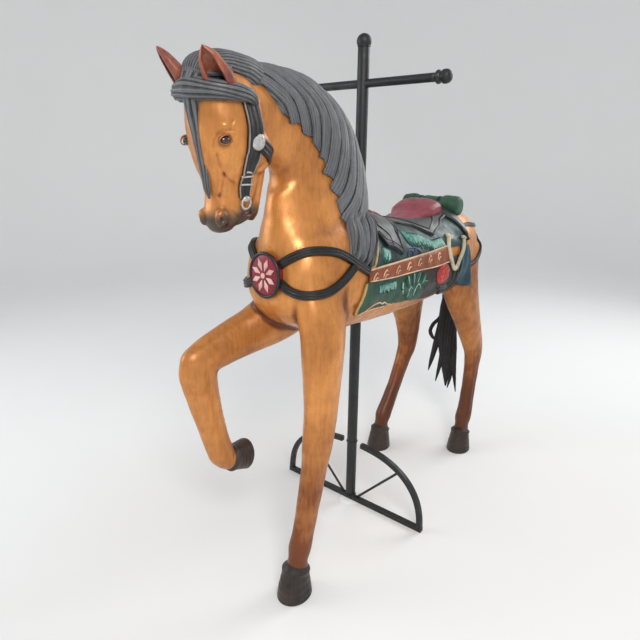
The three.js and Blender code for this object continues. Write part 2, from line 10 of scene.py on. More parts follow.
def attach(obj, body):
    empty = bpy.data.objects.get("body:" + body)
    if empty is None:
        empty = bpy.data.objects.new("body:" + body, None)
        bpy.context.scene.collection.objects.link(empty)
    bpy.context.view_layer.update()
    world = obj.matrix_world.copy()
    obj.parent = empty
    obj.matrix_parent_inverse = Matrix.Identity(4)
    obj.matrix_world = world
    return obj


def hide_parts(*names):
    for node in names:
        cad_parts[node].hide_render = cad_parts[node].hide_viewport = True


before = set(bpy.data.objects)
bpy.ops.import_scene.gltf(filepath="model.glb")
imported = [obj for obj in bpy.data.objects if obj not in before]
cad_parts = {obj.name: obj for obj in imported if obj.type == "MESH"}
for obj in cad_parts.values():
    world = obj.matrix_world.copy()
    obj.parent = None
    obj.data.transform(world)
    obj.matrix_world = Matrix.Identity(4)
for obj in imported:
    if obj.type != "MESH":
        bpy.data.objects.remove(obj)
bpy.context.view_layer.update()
print("frame loaded:", len(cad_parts), "nodes")

mm = 0.001
left, right = 1, -1
scene = bpy.context.scene


def curveAt(points, u):
    # smooth curve through every point, each stretch a cubic whose slopes weigh the square roots of the
    # distances on its two sides; u runs from 0 to 1 with equal shares for each stretch
    p = np.asarray(points, float)
    ends = np.vstack([2 * p[0] - p[1], p, 2 * p[-1] - p[-2]])
    place = np.clip(np.asarray(u, float), 0, 1) * (len(p) - 1)
    k = np.minimum(place.astype(int), len(p) - 2)
    w = (place - k)[..., None]
    p0, p1, p2, p3 = ends[k], ends[k + 1], ends[k + 2], ends[k + 3]

    def gap(a, b):
        return np.maximum(np.sum((b - a) ** 2, -1, keepdims=True) ** 0.25, 1e-5)

    d0, d1, d2 = gap(p0, p1), gap(p1, p2), gap(p2, p3)
    m1 = ((p1 - p0) / d0 - (p2 - p0) / (d0 + d1) + (p2 - p1) / d1) * d1
    m2 = ((p2 - p1) / d1 - (p3 - p1) / (d1 + d2) + (p3 - p2) / d2) * d1
    return p1 + m1 * w + (3 * (p2 - p1) - 2 * m1 - m2) * w**2 + (2 * (p1 - p2) + m1 + m2) * w**3


def unit(v):
    # each vector over its own length
    return v / np.maximum(np.linalg.norm(v, axis=-1, keepdims=True), 1e-12)


def squared(v, power):
    # keeps the sign and raises the size to two over the power, which squares a circle off
    return np.sign(v) * np.abs(v) ** (2 / power)


def limbPoint(limb, u, angle, lift=0.0):
    # point on an oval carried along a spine: the middle at u, plus across * wide * cos + rise * deep * sin,
    # with cos and sin squared off by the limb's power
    table = np.asarray(limb["stations"], float) * mm
    u, angle, lift = np.broadcast_arrays(np.asarray(u, float), angle, lift)
    middle = curveAt(table[:, :3], u)
    size = curveAt(table[:, 3:5], u)
    along = unit(curveAt(table[:, :3], u + 1e-3) - curveAt(table[:, :3], u - 1e-3))
    across = np.asarray(limb.get("across", (1, 0, 0)), float)
    side = unit(across - along * (along @ across)[..., None])
    rise = np.cross(side, along)
    power = limb.get("power", 2)
    c = squared(np.cos(angle), power) * (size[..., 0] + lift)
    s = squared(np.sin(angle), power) * (size[..., 1] + lift)
    return middle + side * c[..., None] + rise * s[..., None]


def limbGrid(limb, steps, sides):
    # rings at even steps along the limb, each with even turns
    u = np.linspace(0, 1, steps + 1)[:, None]
    angle = np.linspace(0, 2 * np.pi, sides, endpoint=False)[None]
    return limbPoint(limb, u, angle)


def tube(grid):
    # closed skin of rings: quads between neighbouring rings and a fan on the middle of each end ring
    rows, sides = grid.shape[:2]
    points = np.vstack([grid.reshape(-1, 3), grid[0].mean(0)[None], grid[-1].mean(0)[None]])
    i, j = np.meshgrid(np.arange(rows - 1), np.arange(sides), indexing="ij")
    k = (j + 1) % sides
    quads = np.stack([i * sides + j, (i + 1) * sides + j, (i + 1) * sides + k, i * sides + k],
                     -1).reshape(-1, 4)
    j = np.arange(sides)
    k = (j + 1) % sides
    first, last = rows * sides, rows * sides + 1
    low = np.stack([np.full(sides, first), j, k], -1)
    high = np.stack([np.full(sides, last), last - 1 - sides + k, last - 1 - sides + j], -1)
    return points, [quads[:, ::-1], low[:, ::-1], high[:, ::-1]]


def panel(grid):
    # open skin of rows and columns
    rows, columns = grid.shape[:2]
    i, j = np.meshgrid(np.arange(rows - 1), np.arange(columns - 1), indexing="ij")
    a = i * columns + j
    return grid.reshape(-1, 3), [np.stack([a, a + 1, a + columns + 1, a + columns], -1).reshape(-1, 4)]


def sheetTube(outer, inner):
    # a sheet with thickness as rings: along the outer face's row and back along the inner face's row
    return tube(np.concatenate([outer, inner[:, ::-1]], 1))


def gather(parts):
    # several parts as one, each with its faces counted on from the points before it
    points, faces, start = [], [], 0
    for p, fs in parts:
        points.append(p)
        faces += [f + start for f in fs]
        start += len(p)
    return np.vstack(points), faces


def newMesh(name, part, smooth=True, closed=True):
    # mesh and object from points and faces; a closed skin has its faces turned outwards
    points, faces = part
    mesh = bpy.data.meshes.new(name)
    mesh.from_pydata(points.tolist(), [], [f for block in faces for f in block.tolist()])
    if closed:
        work = bmesh.new()
        work.from_mesh(mesh)
        bmesh.ops.recalc_face_normals(work, faces=work.faces)
        work.to_mesh(mesh)
        work.free()
    mesh.polygons.foreach_set("use_smooth", np.full(len(mesh.polygons), smooth))
    mesh.update()
    obj = bpy.data.objects.new(name, mesh)
    scene.collection.objects.link(obj)
    return obj


def pointsOf(obj):
    co = np.zeros(len(obj.data.vertices) * 3, np.float32)
    obj.data.vertices.foreach_get("co", co)
    return co.reshape(-1, 3).astype(float)


def normalsOf(obj):
    n = np.zeros(len(obj.data.vertices) * 3, np.float32)
    obj.data.vertex_normals.foreach_get("vector", n)
    return n.reshape(-1, 3).astype(float)


def edgesOf(obj):
    e = np.zeros(len(obj.data.edges) * 2, np.int32)
    obj.data.edges.foreach_get("vertices", e)
    return e.reshape(-1, 2)


def setPoints(obj, co):
    obj.data.vertices.foreach_set("co", co.astype(np.float32).ravel())
    obj.data.update()


def setMask(obj, name, values):
    layer = obj.data.attributes.new(name, "FLOAT", "POINT")
    layer.data.foreach_set("value", np.clip(values, 0, 1).astype(np.float32))


def averageOf(values, edges):
    # mean of each point's neighbours
    n = len(values)
    a, b = edges.T
    count = np.bincount(a, minlength=n) + np.bincount(b, minlength=n)
    flat = values.reshape(n, -1)
    sums = [np.bincount(a, flat[b, c], n) + np.bincount(b, flat[a, c], n) for c in range(flat.shape[1])]
    return (np.stack(sums, 1) / np.maximum(count, 1)[:, None]).reshape(values.shape)


def relax(obj, rounds):
    # each round moves points half way to their neighbours' mean and then back by a little more, which rounds
    # steps off without shrinking the shape
    co, edges = pointsOf(obj), edgesOf(obj)
    for _ in range(rounds):
        co = co + (averageOf(co, edges) - co) * 0.5
        co = co - (averageOf(co, edges) - co) * 0.51
    setPoints(obj, co)


def melt(obj, rounds, where):
    # moves points towards their neighbours' mean by a share that the mask gives
    co, edges = pointsOf(obj), edgesOf(obj)
    for _ in range(rounds):
        co = co + (averageOf(co, edges) - co) * 0.6 * where[:, None]
    setPoints(obj, co)


def remeshed(name, part, voxel):
    # one skin round all the overlapping closed parts, on cells of the size given
    rough = newMesh(name + "_rough", part)
    modifier = rough.modifiers.new("voxels", "REMESH")
    modifier.mode = "VOXEL"
    modifier.voxel_size = voxel
    graph = bpy.context.evaluated_depsgraph_get()
    mesh = bpy.data.meshes.new_from_object(rough.evaluated_get(graph))
    mesh.name = name
    bpy.data.objects.remove(rough)
    mesh.polygons.foreach_set("use_smooth", np.ones(len(mesh.polygons), bool))
    obj = bpy.data.objects.new(name, mesh)
    scene.collection.objects.link(obj)
    return obj


def bump(co, place, reach):
    # bell round a place, with its own reach along each axis
    offset = (co - np.asarray(place) * mm) / (np.asarray(reach) * mm)
    return np.exp(-np.sum(offset**2, -1))


def nearLine(co, points, width):
    # bell round a bent line, by the distance to its nearest stretch
    p = np.asarray(points, float) * mm
    best = np.full(len(co), 1e9)
    for a, b in zip(p[:-1], p[1:]):
        t = np.clip((co - a) @ (b - a) / np.dot(b - a, b - a), 0, 1)
        best = np.minimum(best, np.sum((co - a - t[:, None] * (b - a)) ** 2, 1))
    return np.exp(-best / (width * mm) ** 2)


def smoothStep(v, low, high):
    # three squares less two cubes of the way from low to high
    t = np.clip((v - low) / (high - low), 0, 1)
    return t * t * (3 - 2 * t)


def hollowMask(obj, rounds=12):
    # how hollow the skin is at each point: the neighbours' mean stands outside it along the normal
    edges, normals = edgesOf(obj), normalsOf(obj)
    co = pointsOf(obj)
    wide = co
    for _ in range(rounds):
        wide = averageOf(wide, edges)
    depth = np.sum((wide - co) * normals, 1)
    for _ in range(3):
        depth = averageOf(depth, edges)
    return depth


def finishPiece(obj, material, slot, *nodes):
    # gives a piece its paint and its body and hides the solids it stands for; the slot is not used
    obj.data.materials.clear()
    obj.data.materials.append(material)
    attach(obj, "root")
    if nodes:
        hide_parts(*nodes)
    return obj


class Nodes:
    # short hand for one node tree: add makes a node with its values, link joins two sockets
    def __init__(self, tree):
        self.tree = tree

    def add(self, kind, settings=None, **inputs):
        node = self.tree.nodes.new(kind)
        for key, value in (settings or {}).items():
            setattr(node, key, value)
        for key, value in inputs.items():
            self.put(node, key.replace("_", " "), value)
        return node

    def put(self, node, key, value):
        socket = node.inputs[int(key[1:])] if key[0] == "n" and key[1:].isdigit() else node.inputs[key]
        if isinstance(value, bpy.types.NodeSocket):
            self.tree.links.new(value, socket)
        else:
            socket.default_value = value

    def math(self, operation, a, b=0.0, clamp=False):
        return self.add("ShaderNodeMath", {"operation": operation, "use_clamp": clamp}, n0=a, n1=b).outputs[0]

    def mix(self, factor, a, b, blend="MIX"):
        node = self.add("ShaderNodeMix", {"data_type": "RGBA", "blend_type": blend})
        self.put(node, "n0", factor)
        self.put(node, "n6", a)
        self.put(node, "n7", b)
        return node.outputs[2]

    def ramp(self, value, low, high, a=0.0, b=1.0):
        node = self.add("ShaderNodeMapRange", {"interpolation_type": "SMOOTHSTEP"}, n0=value, n1=low, n2=high)
        node.inputs[3].default_value = a
        node.inputs[4].default_value = b
        return node.outputs[0]

    def noise(self, at, scale, detail=3.0, rough=0.55):
        return self.add("ShaderNodeTexNoise", Vector=at, Scale=scale, Detail=detail,
                        Roughness=rough).outputs["Fac"]


def rgb(r, g, b):
    # sRGB values from 0 to 255 to linear light
    v = np.array([r, g, b]) / 255
    linear = np.where(v <= 0.04045, v / 12.92, ((v + 0.055) / 1.055) ** 2.4)
    return (*linear.tolist(), 1.0)


def blotchedPaintAndShadeGroup():
    # rubbed paint: blotches in two sizes and thin brush streaks, and darker colour where the Hollow input is
    # high, which for the gold paint is painted shade where the skin is hollow
    tree = bpy.data.node_groups.new("rubbed_paint_and_hollow_shade", "ShaderNodeTree")
    for name, kind, default in [("Bright", "NodeSocketColor", None), ("Deep", "NodeSocketColor", None),
                                ("Hollow", "NodeSocketFloat", 0.0), ("Blotch", "NodeSocketFloat", 0.5),
                                ("Streak", "NodeSocketFloat", 0.3), ("Scale", "NodeSocketFloat", 1.0)]:
        socket = tree.interface.new_socket(name=name, in_out="INPUT", socket_type=kind)
        if default is not None:
            socket.default_value = default
    for name, kind in [("Colour", "NodeSocketColor"), ("Rough", "NodeSocketFloat"),
                       ("Height", "NodeSocketFloat")]:
        tree.interface.new_socket(name=name, in_out="OUTPUT", socket_type=kind)
    n = Nodes(tree)
    given, result = tree.nodes.new("NodeGroupInput"), tree.nodes.new("NodeGroupOutput")
    place = n.add("ShaderNodeTexCoord").outputs["Object"]
    scaled = n.add("ShaderNodeVectorMath", {"operation": "SCALE"}, n0=place)
    n.put(scaled, "Scale", given.outputs["Scale"])
    at = scaled.outputs[0]
    wide = n.ramp(n.noise(at, 5.0, 4), 0.38, 0.66)
    small = n.ramp(n.noise(at, 26.0, 4), 0.35, 0.7)
    stretched = n.add("ShaderNodeMapping", n0=at)
    stretched.inputs["Scale"].default_value = (60, 60, 7)
    streaks = n.ramp(n.noise(stretched.outputs[0], 1.6, 3), 0.35, 0.72)
    blotches = n.math("ADD", n.math("MULTIPLY", wide, given.outputs["Blotch"]),
                      n.math("MULTIPLY", n.math("MULTIPLY", small, given.outputs["Blotch"]), 0.45))
    lines = n.math("MULTIPLY", streaks, given.outputs["Streak"])
    # the Hollow input raises the share of the deep colour: painted shade in the hollows for the gold paint
    share = n.math("ADD", n.math("ADD", blotches, lines), given.outputs["Hollow"], clamp=True)
    n.put(result, "Colour", n.mix(share, given.outputs["Bright"], given.outputs["Deep"]))
    n.put(result, "Rough", n.math("ADD", n.math("MULTIPLY", small, 0.14), n.math("MULTIPLY", share, 0.12)))
    n.put(result, "Height", n.math("ADD", n.math("MULTIPLY", streaks, 0.5), n.math("MULTIPLY", small, 0.5)))
    return tree


blotchedPaintAndShade = blotchedPaintAndShadeGroup()


def newMaterial(name, **constants):
    material = bpy.data.materials.new(name)
    material.use_nodes = True
    tree = material.node_tree
    tree.nodes.clear()
    n = Nodes(tree)
    out = n.add("ShaderNodeOutputMaterial")
    shader = n.add("ShaderNodeBsdfPrincipled")
    for key, value in constants.items():
        shader.inputs[key.replace("_", " ")].default_value = value
    tree.links.new(shader.outputs[0], out.inputs["Surface"])
    return material, n, shader


def paintNodes(n, bright, deep, hollow=0.0, blotch=0.5, streak=0.3, scale=1.0):
    node = n.add("ShaderNodeGroup", {"node_tree": blotchedPaintAndShade})
    for key, value in [("Bright", bright), ("Deep", deep), ("Hollow", hollow), ("Blotch", blotch),
                       ("Streak", streak), ("Scale", scale)]:
        n.put(node, key, value)
    return node


def bumpOf(n, height, strength, distance):
    node = n.add("ShaderNodeBump", Strength=strength, Distance=distance)
    n.put(node, "Height", height)
    return node.outputs[0]


def maskOf(n, name):
    # a mask stored on the points
    return n.add("ShaderNodeAttribute", {"attribute_name": name}).outputs["Fac"]


def wornMaterial(name, bright, deep, rough=0.45, blotch=0.5, streak=0.3, scale=1.0, **constants):
    # painted wood or steel in one colour, worn in blotches and streaks
    material, n, shader = newMaterial(name, **constants)
    paint = paintNodes(n, bright, deep, 0.0, blotch, streak, scale)
    n.put(shader, "Base Color", paint.outputs["Colour"])
    n.put(shader, "Roughness", n.math("ADD", paint.outputs["Rough"], rough))
    n.put(shader, "Normal", bumpOf(n, paint.outputs["Height"], 0.25, 0.0012))
    return material


carving = {"bodyGrain": 0.0065, "headGrain": 0.0027}  # cell of the skin, in metres
barrel = {"power": 2.3, "stations": [
    (0, -462, 1036, 84, 78), (0, -448, 1034, 112, 112), (0, -410, 1030, 144, 148), (0, -340, 1022, 170, 172),
    (0, -230, 1008, 184, 196), (0, -90, 1000, 184, 196), (0, 90, 978, 186, 182), (0, 280, 970, 188, 172),
    (0, 430, 984, 192, 178), (0, 560, 998, 192, 180), (0, 670, 995, 172, 166), (0, 745, 980, 128, 132),
    (0, 790, 966, 62, 74)]}
neck = {"stations": [
    (0, -290, 960, 150, 170), (0, -264, 1085, 138, 210), (0, -245, 1190, 108, 214), (0, -250, 1290, 92, 208),
    (0, -287, 1385, 82, 182), (0, -352, 1448, 76, 144), (0, -445, 1482, 72, 118), (0, -545, 1502, 68, 94),
    (0, -620, 1516, 58, 74)]}
frontLeft = [
    (86, -340, 1080, 50, 90), (112, -352, 960, 61, 102), (138, -371, 860, 60, 88), (150, -386, 760, 55, 78),
    (156, -398, 640, 50, 64), (159, -413, 545, 49, 56), (161, -423, 500, 46, 53), (162, -441, 420, 39, 46),
    (162, -470, 300, 35, 42), (162, -493, 215, 33, 39), (160, -506, 165, 36, 41)]
hindLeft = [
    (104, 620, 1010, 84, 146), (120, 626, 880, 76, 118), (136, 652, 770, 66, 94), (150, 696, 660, 55, 73),
    (160, 744, 560, 43, 68), (165, 766, 495, 39, 60), (168, 758, 420, 33, 45), (171, 736, 300, 31, 39),
    (174, 710, 200, 34, 41), (174, 698, 165, 36, 42)]
hindRight = [
    (-98, 580, 1000, 84, 154), (-116, 572, 870, 82, 156), (-124, 604, 760, 68, 127), (-132, 640, 650, 54, 94),
    (-136, 658, 550, 43, 76), (-138, 656, 480, 39, 64), (-140, 622, 410, 33, 48), (-142, 556, 290, 31, 39),
    (-144, 492, 195, 34, 41), (-144, 470, 160, 36, 42)]
forearm = [
    (-80, -280, 896, 74, 110), (-104, -352, 856, 70, 94), (-122, -440, 828, 60, 77),
           (-132, -530, 806, 51, 68),
    (-138, -616, 784, 45, 60), (-140, -664, 770, 40, 52), (-140, -686, 762, 26, 34)]
shin = [
    (-140, -634, 806, 28, 38), (-140, -636, 784, 40, 58), (-140, -640, 740, 42, 66),
        (-139, -628, 660, 36, 58),
    (-138, -606, 560, 34, 50), (-137, -586, 480, 34, 46), (-136, -570, 430, 36, 46),
        (-135, -552, 400, 34, 38),
    (-135, -528, 388, 36, 38)]
hoofSpots = {"frontLeft": (160, -535), "hindLeft": (174, 672), "hindRight": (-144, 438)}


def withPastern(stations, spot):
    # adds the two last rings of a standing leg, which slope forward into the hoof
    x, y = spot
    return stations + [(x, y + 18, 125, 31, 35), (x, y + 12, 95, 36, 40)]


standing = [(frontLeft, "frontLeft"), (hindLeft, "hindLeft"), (hindRight, "hindRight")]
skins = [tube(limbGrid(barrel, 90, 72)), tube(limbGrid(neck, 60, 56))]
skins += [tube(limbGrid({"stations": withPastern(stations, hoofSpots[name])}, 70, 40)) for stations,
          name in standing]
skins += [tube(limbGrid({"stations": forearm}, 40, 40)), tube(limbGrid({"stations": shin}, 50, 36))]
body = remeshed("horse_body", gather(skins), carving["bodyGrain"])
print("body skin:", len(body.data.polygons), "faces")


def bodyRelief(co, normals):
    # what the chisel left: flat planes on the shoulder, grooves along muscles, and bones that stand out, each
    # a bell round a place or along a line, added along the skin's normal in millimetres
    x, y, z = co.T / mm
    lift = np.zeros(len(co))
    grooves = [
        # shoulder plane's edge, from the breast strap down to the elbow
        ([(172, -300, 1000), (168, -310, 930), (160, -330, 870), (196, -330, 820)], 7, 4.0),
        ([(120, -425, 960), (150, -420, 880), (168, -440, 800), (172, -452, 700)], 9, 2.6),
        # drop-shaped line on the near thigh
        ([(190, 560, 900), (196, 600, 850), (196, 650, 800), (180, 690, 770)], 8, 3.6),
        ([(190, 560, 900), (192, 545, 860), (194, 575, 800), (180, 640, 750)], 8, 2.6),
        # fold behind the elbow and fold of the flank
        ([(170, -250, 930), (185, -225, 880), (160, -215, 830)], 10, 3.4),
        ([(180, 470, 930), (186, 490, 880), (160, 510, 820)], 10, 4.0),
        # middle of the breast below the medallion
        ([(0, -480, 985), (0, -465, 930), (0, -420, 880)], 16, 4.0),
        # split along the raised forearm
        ([(-118, -560, 862), (-112, -600, 850), (-112, -630, 838)], 4, 3.0),
        # tendons above the fetlocks
        ([(196, -440, 420), (194, -480, 260), (190, -500, 190)], 6, 2.2),
        ([(199, 752, 420), (203, 728, 290), (205, 706, 200)], 6, 2.2),
        ([(-170, 620, 410), (-172, 556, 290), (-172, 500, 200)], 6, 2.2),
    ]
    for points, width, depth in grooves:
        lift -= depth * nearLine(co, points, width)
    ridges = [
        ([(186, -340, 1010), (190, -352, 930), (186, -372, 850), (190, -392, 740)], 22, 4.0),
        ([(60, -470, 930), (66, -455, 880), (40, -420, 850)], 26, 3.0),
        ([(-60, -470, 930), (-66, -455, 880), (-40, -420, 850)], 26, 3.0),
        ([(158, -470, 560), (158, -468, 500)], 22, 5.0),
        ([(-138, -700, 790), (-138, -706, 740)], 22, 4.0),
        ([(165, 822, 560), (166, 828, 500), (166, 806, 440)], 16, 5.0),
        ([(-136, 728, 540), (-138, 716, 480), (-139, 672, 420)], 16, 5.0),
    ]
    for points, width, height in ridges:
        lift += height * nearLine(co, points, width)
    # shallow chisel planes: a slow wave whose direction turns from place to place
    lift += 0.7 * np.sin(x / 17 + 1.7 * np.sin(z / 46)) * np.sin(y / 23 + z / 31 + 1.3 * np.sin(y / 61))
    return co + normals * (lift * mm)[:, None]


junctions = pointsOf(body)
joint = np.clip(bump(junctions, (110, -350, 1010), (120, 140, 130))
                + bump(junctions, (-90, -340, 900), (110, 130, 110))
                + bump(junctions, (110, 600, 930), (110, 190, 130))
                + bump(junctions, (-105, 570, 920), (110, 190, 130))
                + bump(junctions, (0, -330, 1110), (190, 220, 110))
                + bump(junctions, (-138, -640, 770), (60, 70, 60)), 0, 1)
relax(body, 5)
melt(body, 26, joint)
setPoints(body, bodyRelief(pointsOf(body), normalsOf(body)))
relax(body, 2)
# the hollow mask darkens the gold paint in recesses: painted shade
setMask(body, "hollow", hollowMask(body, 14) / 0.0016)
print("body carved")


def radiusMap(obj, height=1.0, rows=260, columns=240):
    # largest distance from the level line in each cell of length and turn, with empty cells filled from their
    # neighbours and the whole lightly blurred
    co = pointsOf(obj)
    low, high = -0.47, 0.80
    radius = np.hypot(co[:, 0], co[:, 2] - height)
    turn = np.arctan2(co[:, 2] - height, co[:, 0]) % (2 * np.pi)
    inside = (co[:, 1] > low) & (co[:, 1] < high) & (radius < 0.30)
    i = ((co[inside, 1] - low) / (high - low) * rows).astype(int)
    j = (turn[inside] / (2 * np.pi) * columns).astype(int) % columns
    cells = np.zeros((rows, columns))
    np.maximum.at(cells, (i, j), radius[inside])
    for _ in range(12):
        around = np.stack([np.roll(cells, s, a) for s, a in ((1, 0), (-1, 0), (1, 1), (-1, 1))])
        known = (around > 0).sum(0)
        cells = np.where(cells > 0, cells, around.sum(0) / np.maximum(known, 1))
    for _ in range(2):
        cells = (cells * 2 + np.roll(cells, 1, 0) + np.roll(cells, -1, 0) + np.roll(cells, 1, 1)
                 + np.roll(cells, -1, 1)) / 6
    return {"cells": cells, "low": low, "high": high, "height": height}


girth = radiusMap(body)


def skinRadius(y, turn):
    # the girth map read between its four nearest cells, each weighed by nearness
    rows, columns = girth["cells"].shape
    i = np.clip((y - girth["low"]) / (girth["high"] - girth["low"]) * rows - 0.5, 0, rows - 1.001)
    j = (turn % (2 * np.pi)) / (2 * np.pi) * columns - 0.5
    i0, j0 = np.floor(i).astype(int), np.floor(j).astype(int)
    fi, fj = i - i0, j - j0
    cells = girth["cells"]
    near, far = cells[i0, j0 % columns], cells[i0, (j0 + 1) % columns]
    near2, far2 = cells[i0 + 1, j0 % columns], cells[i0 + 1, (j0 + 1) % columns]
    return (near * (1 - fj) + far * fj) * (1 - fi) + (near2 * (1 - fj) + far2 * fj) * fi


def roundBody(y, turn, lift):
    # point of the skin at a length and a turn, both in metres and radians, lifted off it
    r = skinRadius(y, turn) + lift
    return np.stack([r * np.cos(turn), y + 0 * r, girth["height"] + r * np.sin(turn)], -1)


def turnAt(y, z):
    # turn at which the left flank passes height z: the sine of the turn is the height over the radius there
    turn = np.arcsin(np.clip((z - girth["height"]) / 0.19, -0.98, 0.98))
    for _ in range(8):
        turn = 0.5 * turn + 0.5 * np.arcsin(np.clip((z - girth["height"]) / skinRadius(y, turn), -0.995,
                                                    0.995))
    return turn


def onFlank(y, z, lift, side=left):
    # the same for a point given by length and height in millimetres
    y, z, lift = np.broadcast_arrays(np.asarray(y, float) * mm, np.asarray(z, float) * mm,
                                     np.asarray(lift, float) * mm)
    turn = turnAt(y, z)
    return roundBody(y, turn if side > 0 else np.pi - turn, lift)


skull = {"power": 2.3, "stations": [
    (0, -600, 1588, 36, 30), (0, -606, 1566, 62, 66), (0, -614, 1520, 88, 98), (0, -614, 1450, 93, 98),
    (0, -608, 1390, 80, 96), (0, -604, 1330, 62, 86), (0, -616, 1275, 50, 68), (0, -634, 1235, 47, 48),
    (0, -638, 1206, 42, 38), (0, -634, 1190, 24, 22)]}
jaw = {"stations": [
    (0, -556, 1430, 62, 58), (0, -548, 1375, 62, 52), (0, -542, 1320, 50, 42), (0, -542, 1270, 38, 32),
    (0, -550, 1236, 36, 32), (0, -554, 1212, 24, 22)]}


def egg(place, radii, tilt=0.0, sides=24):
    # ellipsoid turned about X: rings of latitude, closed at both poles
    lat = np.linspace(-np.pi / 2 + 0.12, np.pi / 2 - 0.12, sides // 2 + 1)[:, None]
    lon = np.linspace(0, 2 * np.pi, sides, endpoint=False)[None]
    grid = np.stack(np.broadcast_arrays(np.cos(lat) * np.cos(lon), np.cos(lat) * np.sin(lon), np.sin(lat)),
                    -1)
    grid = grid * np.asarray(radii) * mm
    c, s = math.cos(tilt), math.sin(tilt)
    y, z = grid[..., 1].copy(), grid[..., 2].copy()
    grid[..., 1], grid[..., 2] = c * y - s * z, s * y + c * z
    return tube(grid + np.asarray(place) * mm)


headParts = [tube(limbGrid(skull, 90, 72)), tube(limbGrid(jaw, 60, 48))]
for side in (left, right):
    headParts += [
        egg((57 * side, -560, 1398), (27, 52, 60), 0.1),  # round cheek
        egg((66 * side, -658, 1440), (17, 32, 13), -0.5),  # brow over the eye
        egg((34 * side, -668, 1226), (16, 18, 24), 0.1),  # flared nostril
        egg((24 * side, -592, 1222), (22, 44, 13), 0.35),  # corner of the lips
    ]
head = remeshed("horse_head", gather(headParts), carving["headGrain"])
relax(head, 6)
ends = pointsOf(head)
melt(head, 10,
     np.clip(bump(ends, (0, -560, 1300), (90, 60, 110)) + bump(ends, (0, -650, 1225), (70, 50, 40)), 0, 1)
     * 0.8)


def headRelief(co, normals):
    # cuts, hollows and raised lines of the face, each a bell along a line or round a place
    x, y, z = co.T / mm
    lift = np.zeros(len(co))
    for side in (left, right):
        near = (np.sign(x) == side).astype(float)
        cuts = [
            # under lid
            ([(74 * side, -700, 1424), (80 * side, -684, 1408), (82 * side, -664, 1414)], 8, 3.6),
            ([(72 * side, -700, 1430), (80 * side, -684, 1440), (84 * side, -656, 1442)], 6, 3.0),  # over lid
            ([(45 * side, -694, 1404), (50 * side, -695, 1419), (61 * side, -691, 1432),
              (71 * side, -677, 1439),
              (80 * side, -666, 1449), (83 * side, -661, 1463)], 4.5, 2.6),  # pointed brow line
            ([(50 * side, -687, 1386), (48 * side, -678, 1357), (47 * side, -667, 1340),
              (52 * side, -649, 1321),
              (61 * side, -629, 1312)], 4.5, 2.6),  # vein
            ([(82 * side, -664, 1400), (76 * side, -652, 1366), (66 * side, -640, 1344)], 3.6, 1.8),
            ([(48 * side, -665, 1338), (42 * side, -664, 1320), (35 * side, -667, 1295),
              (28 * side, -669, 1281)], 4.5, 2.4),
            # jaw's edge
            ([(60 * side, -590, 1330), (70 * side, -560, 1352), (66 * side, -524, 1380)], 12, 5.0),
            ([(36 * side, -662, 1206), (34 * side, -630, 1212), (34 * side, -596, 1222),
              (36 * side, -566, 1234)], 5.5, 9.0),  # mouth
            ([(34 * side, -656, 1252), (44 * side, -640, 1246), (46 * side, -622, 1232)], 7, 2.6),
        ]
        for points, width, depth in cuts:
            lift -= near * depth * nearLine(co, points, width)
        lift -= 12 * bump(co, (50 * side, -676, 1224), (12, 9, 10))  # nostril
        lift += 3 * bump(co, (50 * side, -690, 1236), (14, 8, 8))
        lift -= 7 * bump(co, (78 * side, -680, 1418), (20, 17, 13))  # eye socket
        lift += 4 * nearLine(co, [(66 * side, -694, 1400), (56 * side, -704, 1330), (42 * side, -690, 1270)],
                             11)
    lift += 0.5 * np.sin(y / 13 + 1.4 * np.sin(z / 29)) * np.sin(z / 19 + x / 27)
    return co + normals * (lift * mm)[:, None]


setPoints(head, headRelief(pointsOf(head), normalsOf(head)))
relax(head, 2)
# the hollow mask darkens the gold paint in recesses: painted shade
setMask(head, "hollow", hollowMask(head, 12) / 0.0011)
headPoints = pointsOf(head) / mm
muzzle = smoothStep(-headPoints[:, 2] + 0.10 * (headPoints[:, 1] + 640) + 7 * np.sin(headPoints[:, 1] / 9),
                    -1262, -1222)
setMask(head, "muzzle", muzzle)
mouthLine = np.clip(sum(nearLine(pointsOf(head),
                                 [(36 * s, -662, 1206), (34 * s, -630, 1212), (34 * s, -596, 1222),
                                  (36 * s, -566, 1234)], 7) for s in (left, right)), 0, 1)
setMask(head, "mouth", mouthLine)
headTree = BVHTree.FromObject(head, bpy.context.evaluated_depsgraph_get())
bodyTree = BVHTree.FromObject(body, bpy.context.evaluated_depsgraph_get())
print("head carved:", len(head.data.polygons), "faces")


def onTree(tree, points, lift):
    # the nearest places of a skin to a few points, lifted off it, and the skin's normals there
    found = [tree.find_nearest(Vector(p)) for p in np.asarray(points, float) * mm]
    place = np.array([f[0][:] for f in found])
    normal = np.array([f[1][:] for f in found])
    return place + normal * lift * mm, normal


def eyeball(side):
    # ellipsoid set into the socket
    return egg((68.5 * side, -679, 1418), (14, 16, 12), 0.15, 40)


def eyelids(side):
    # two lids round the eye: a lens-shaped loop with a round section, thicker above
    t = np.linspace(0, 2 * np.pi, 72, endpoint=False)[:, None]
    a = np.linspace(0, 2 * np.pi, 14, endpoint=False)[None]
    y = 20 * np.cos(t)
    z = np.sign(np.sin(t)) * np.abs(np.sin(t)) ** 1.3 * np.where(np.sin(t) > 0, 12.5, 9.5)
    x = 80 - 0.012 * (y - 2) ** 2 - 0.012 * z**2
    thick = np.where(np.sin(t) > 0, 3.4, 2.4) * (0.55 + 0.45 * np.abs(np.sin(t)))
    out = np.stack([x + thick * np.cos(a), y * (1 + thick * np.sin(a) / 22),
                    z * (1 + thick * np.sin(a) / 15)], -1)
    y, z = out[..., 1].copy(), out[..., 2].copy()
    out[..., 1], out[..., 2] = y * math.cos(0.2) - z * math.sin(0.2), y * math.sin(0.2) + z * math.cos(0.2)
    out = out * (side, 1, 1) + (0, -680, 1418)
    return ringTube(out * mm, side)


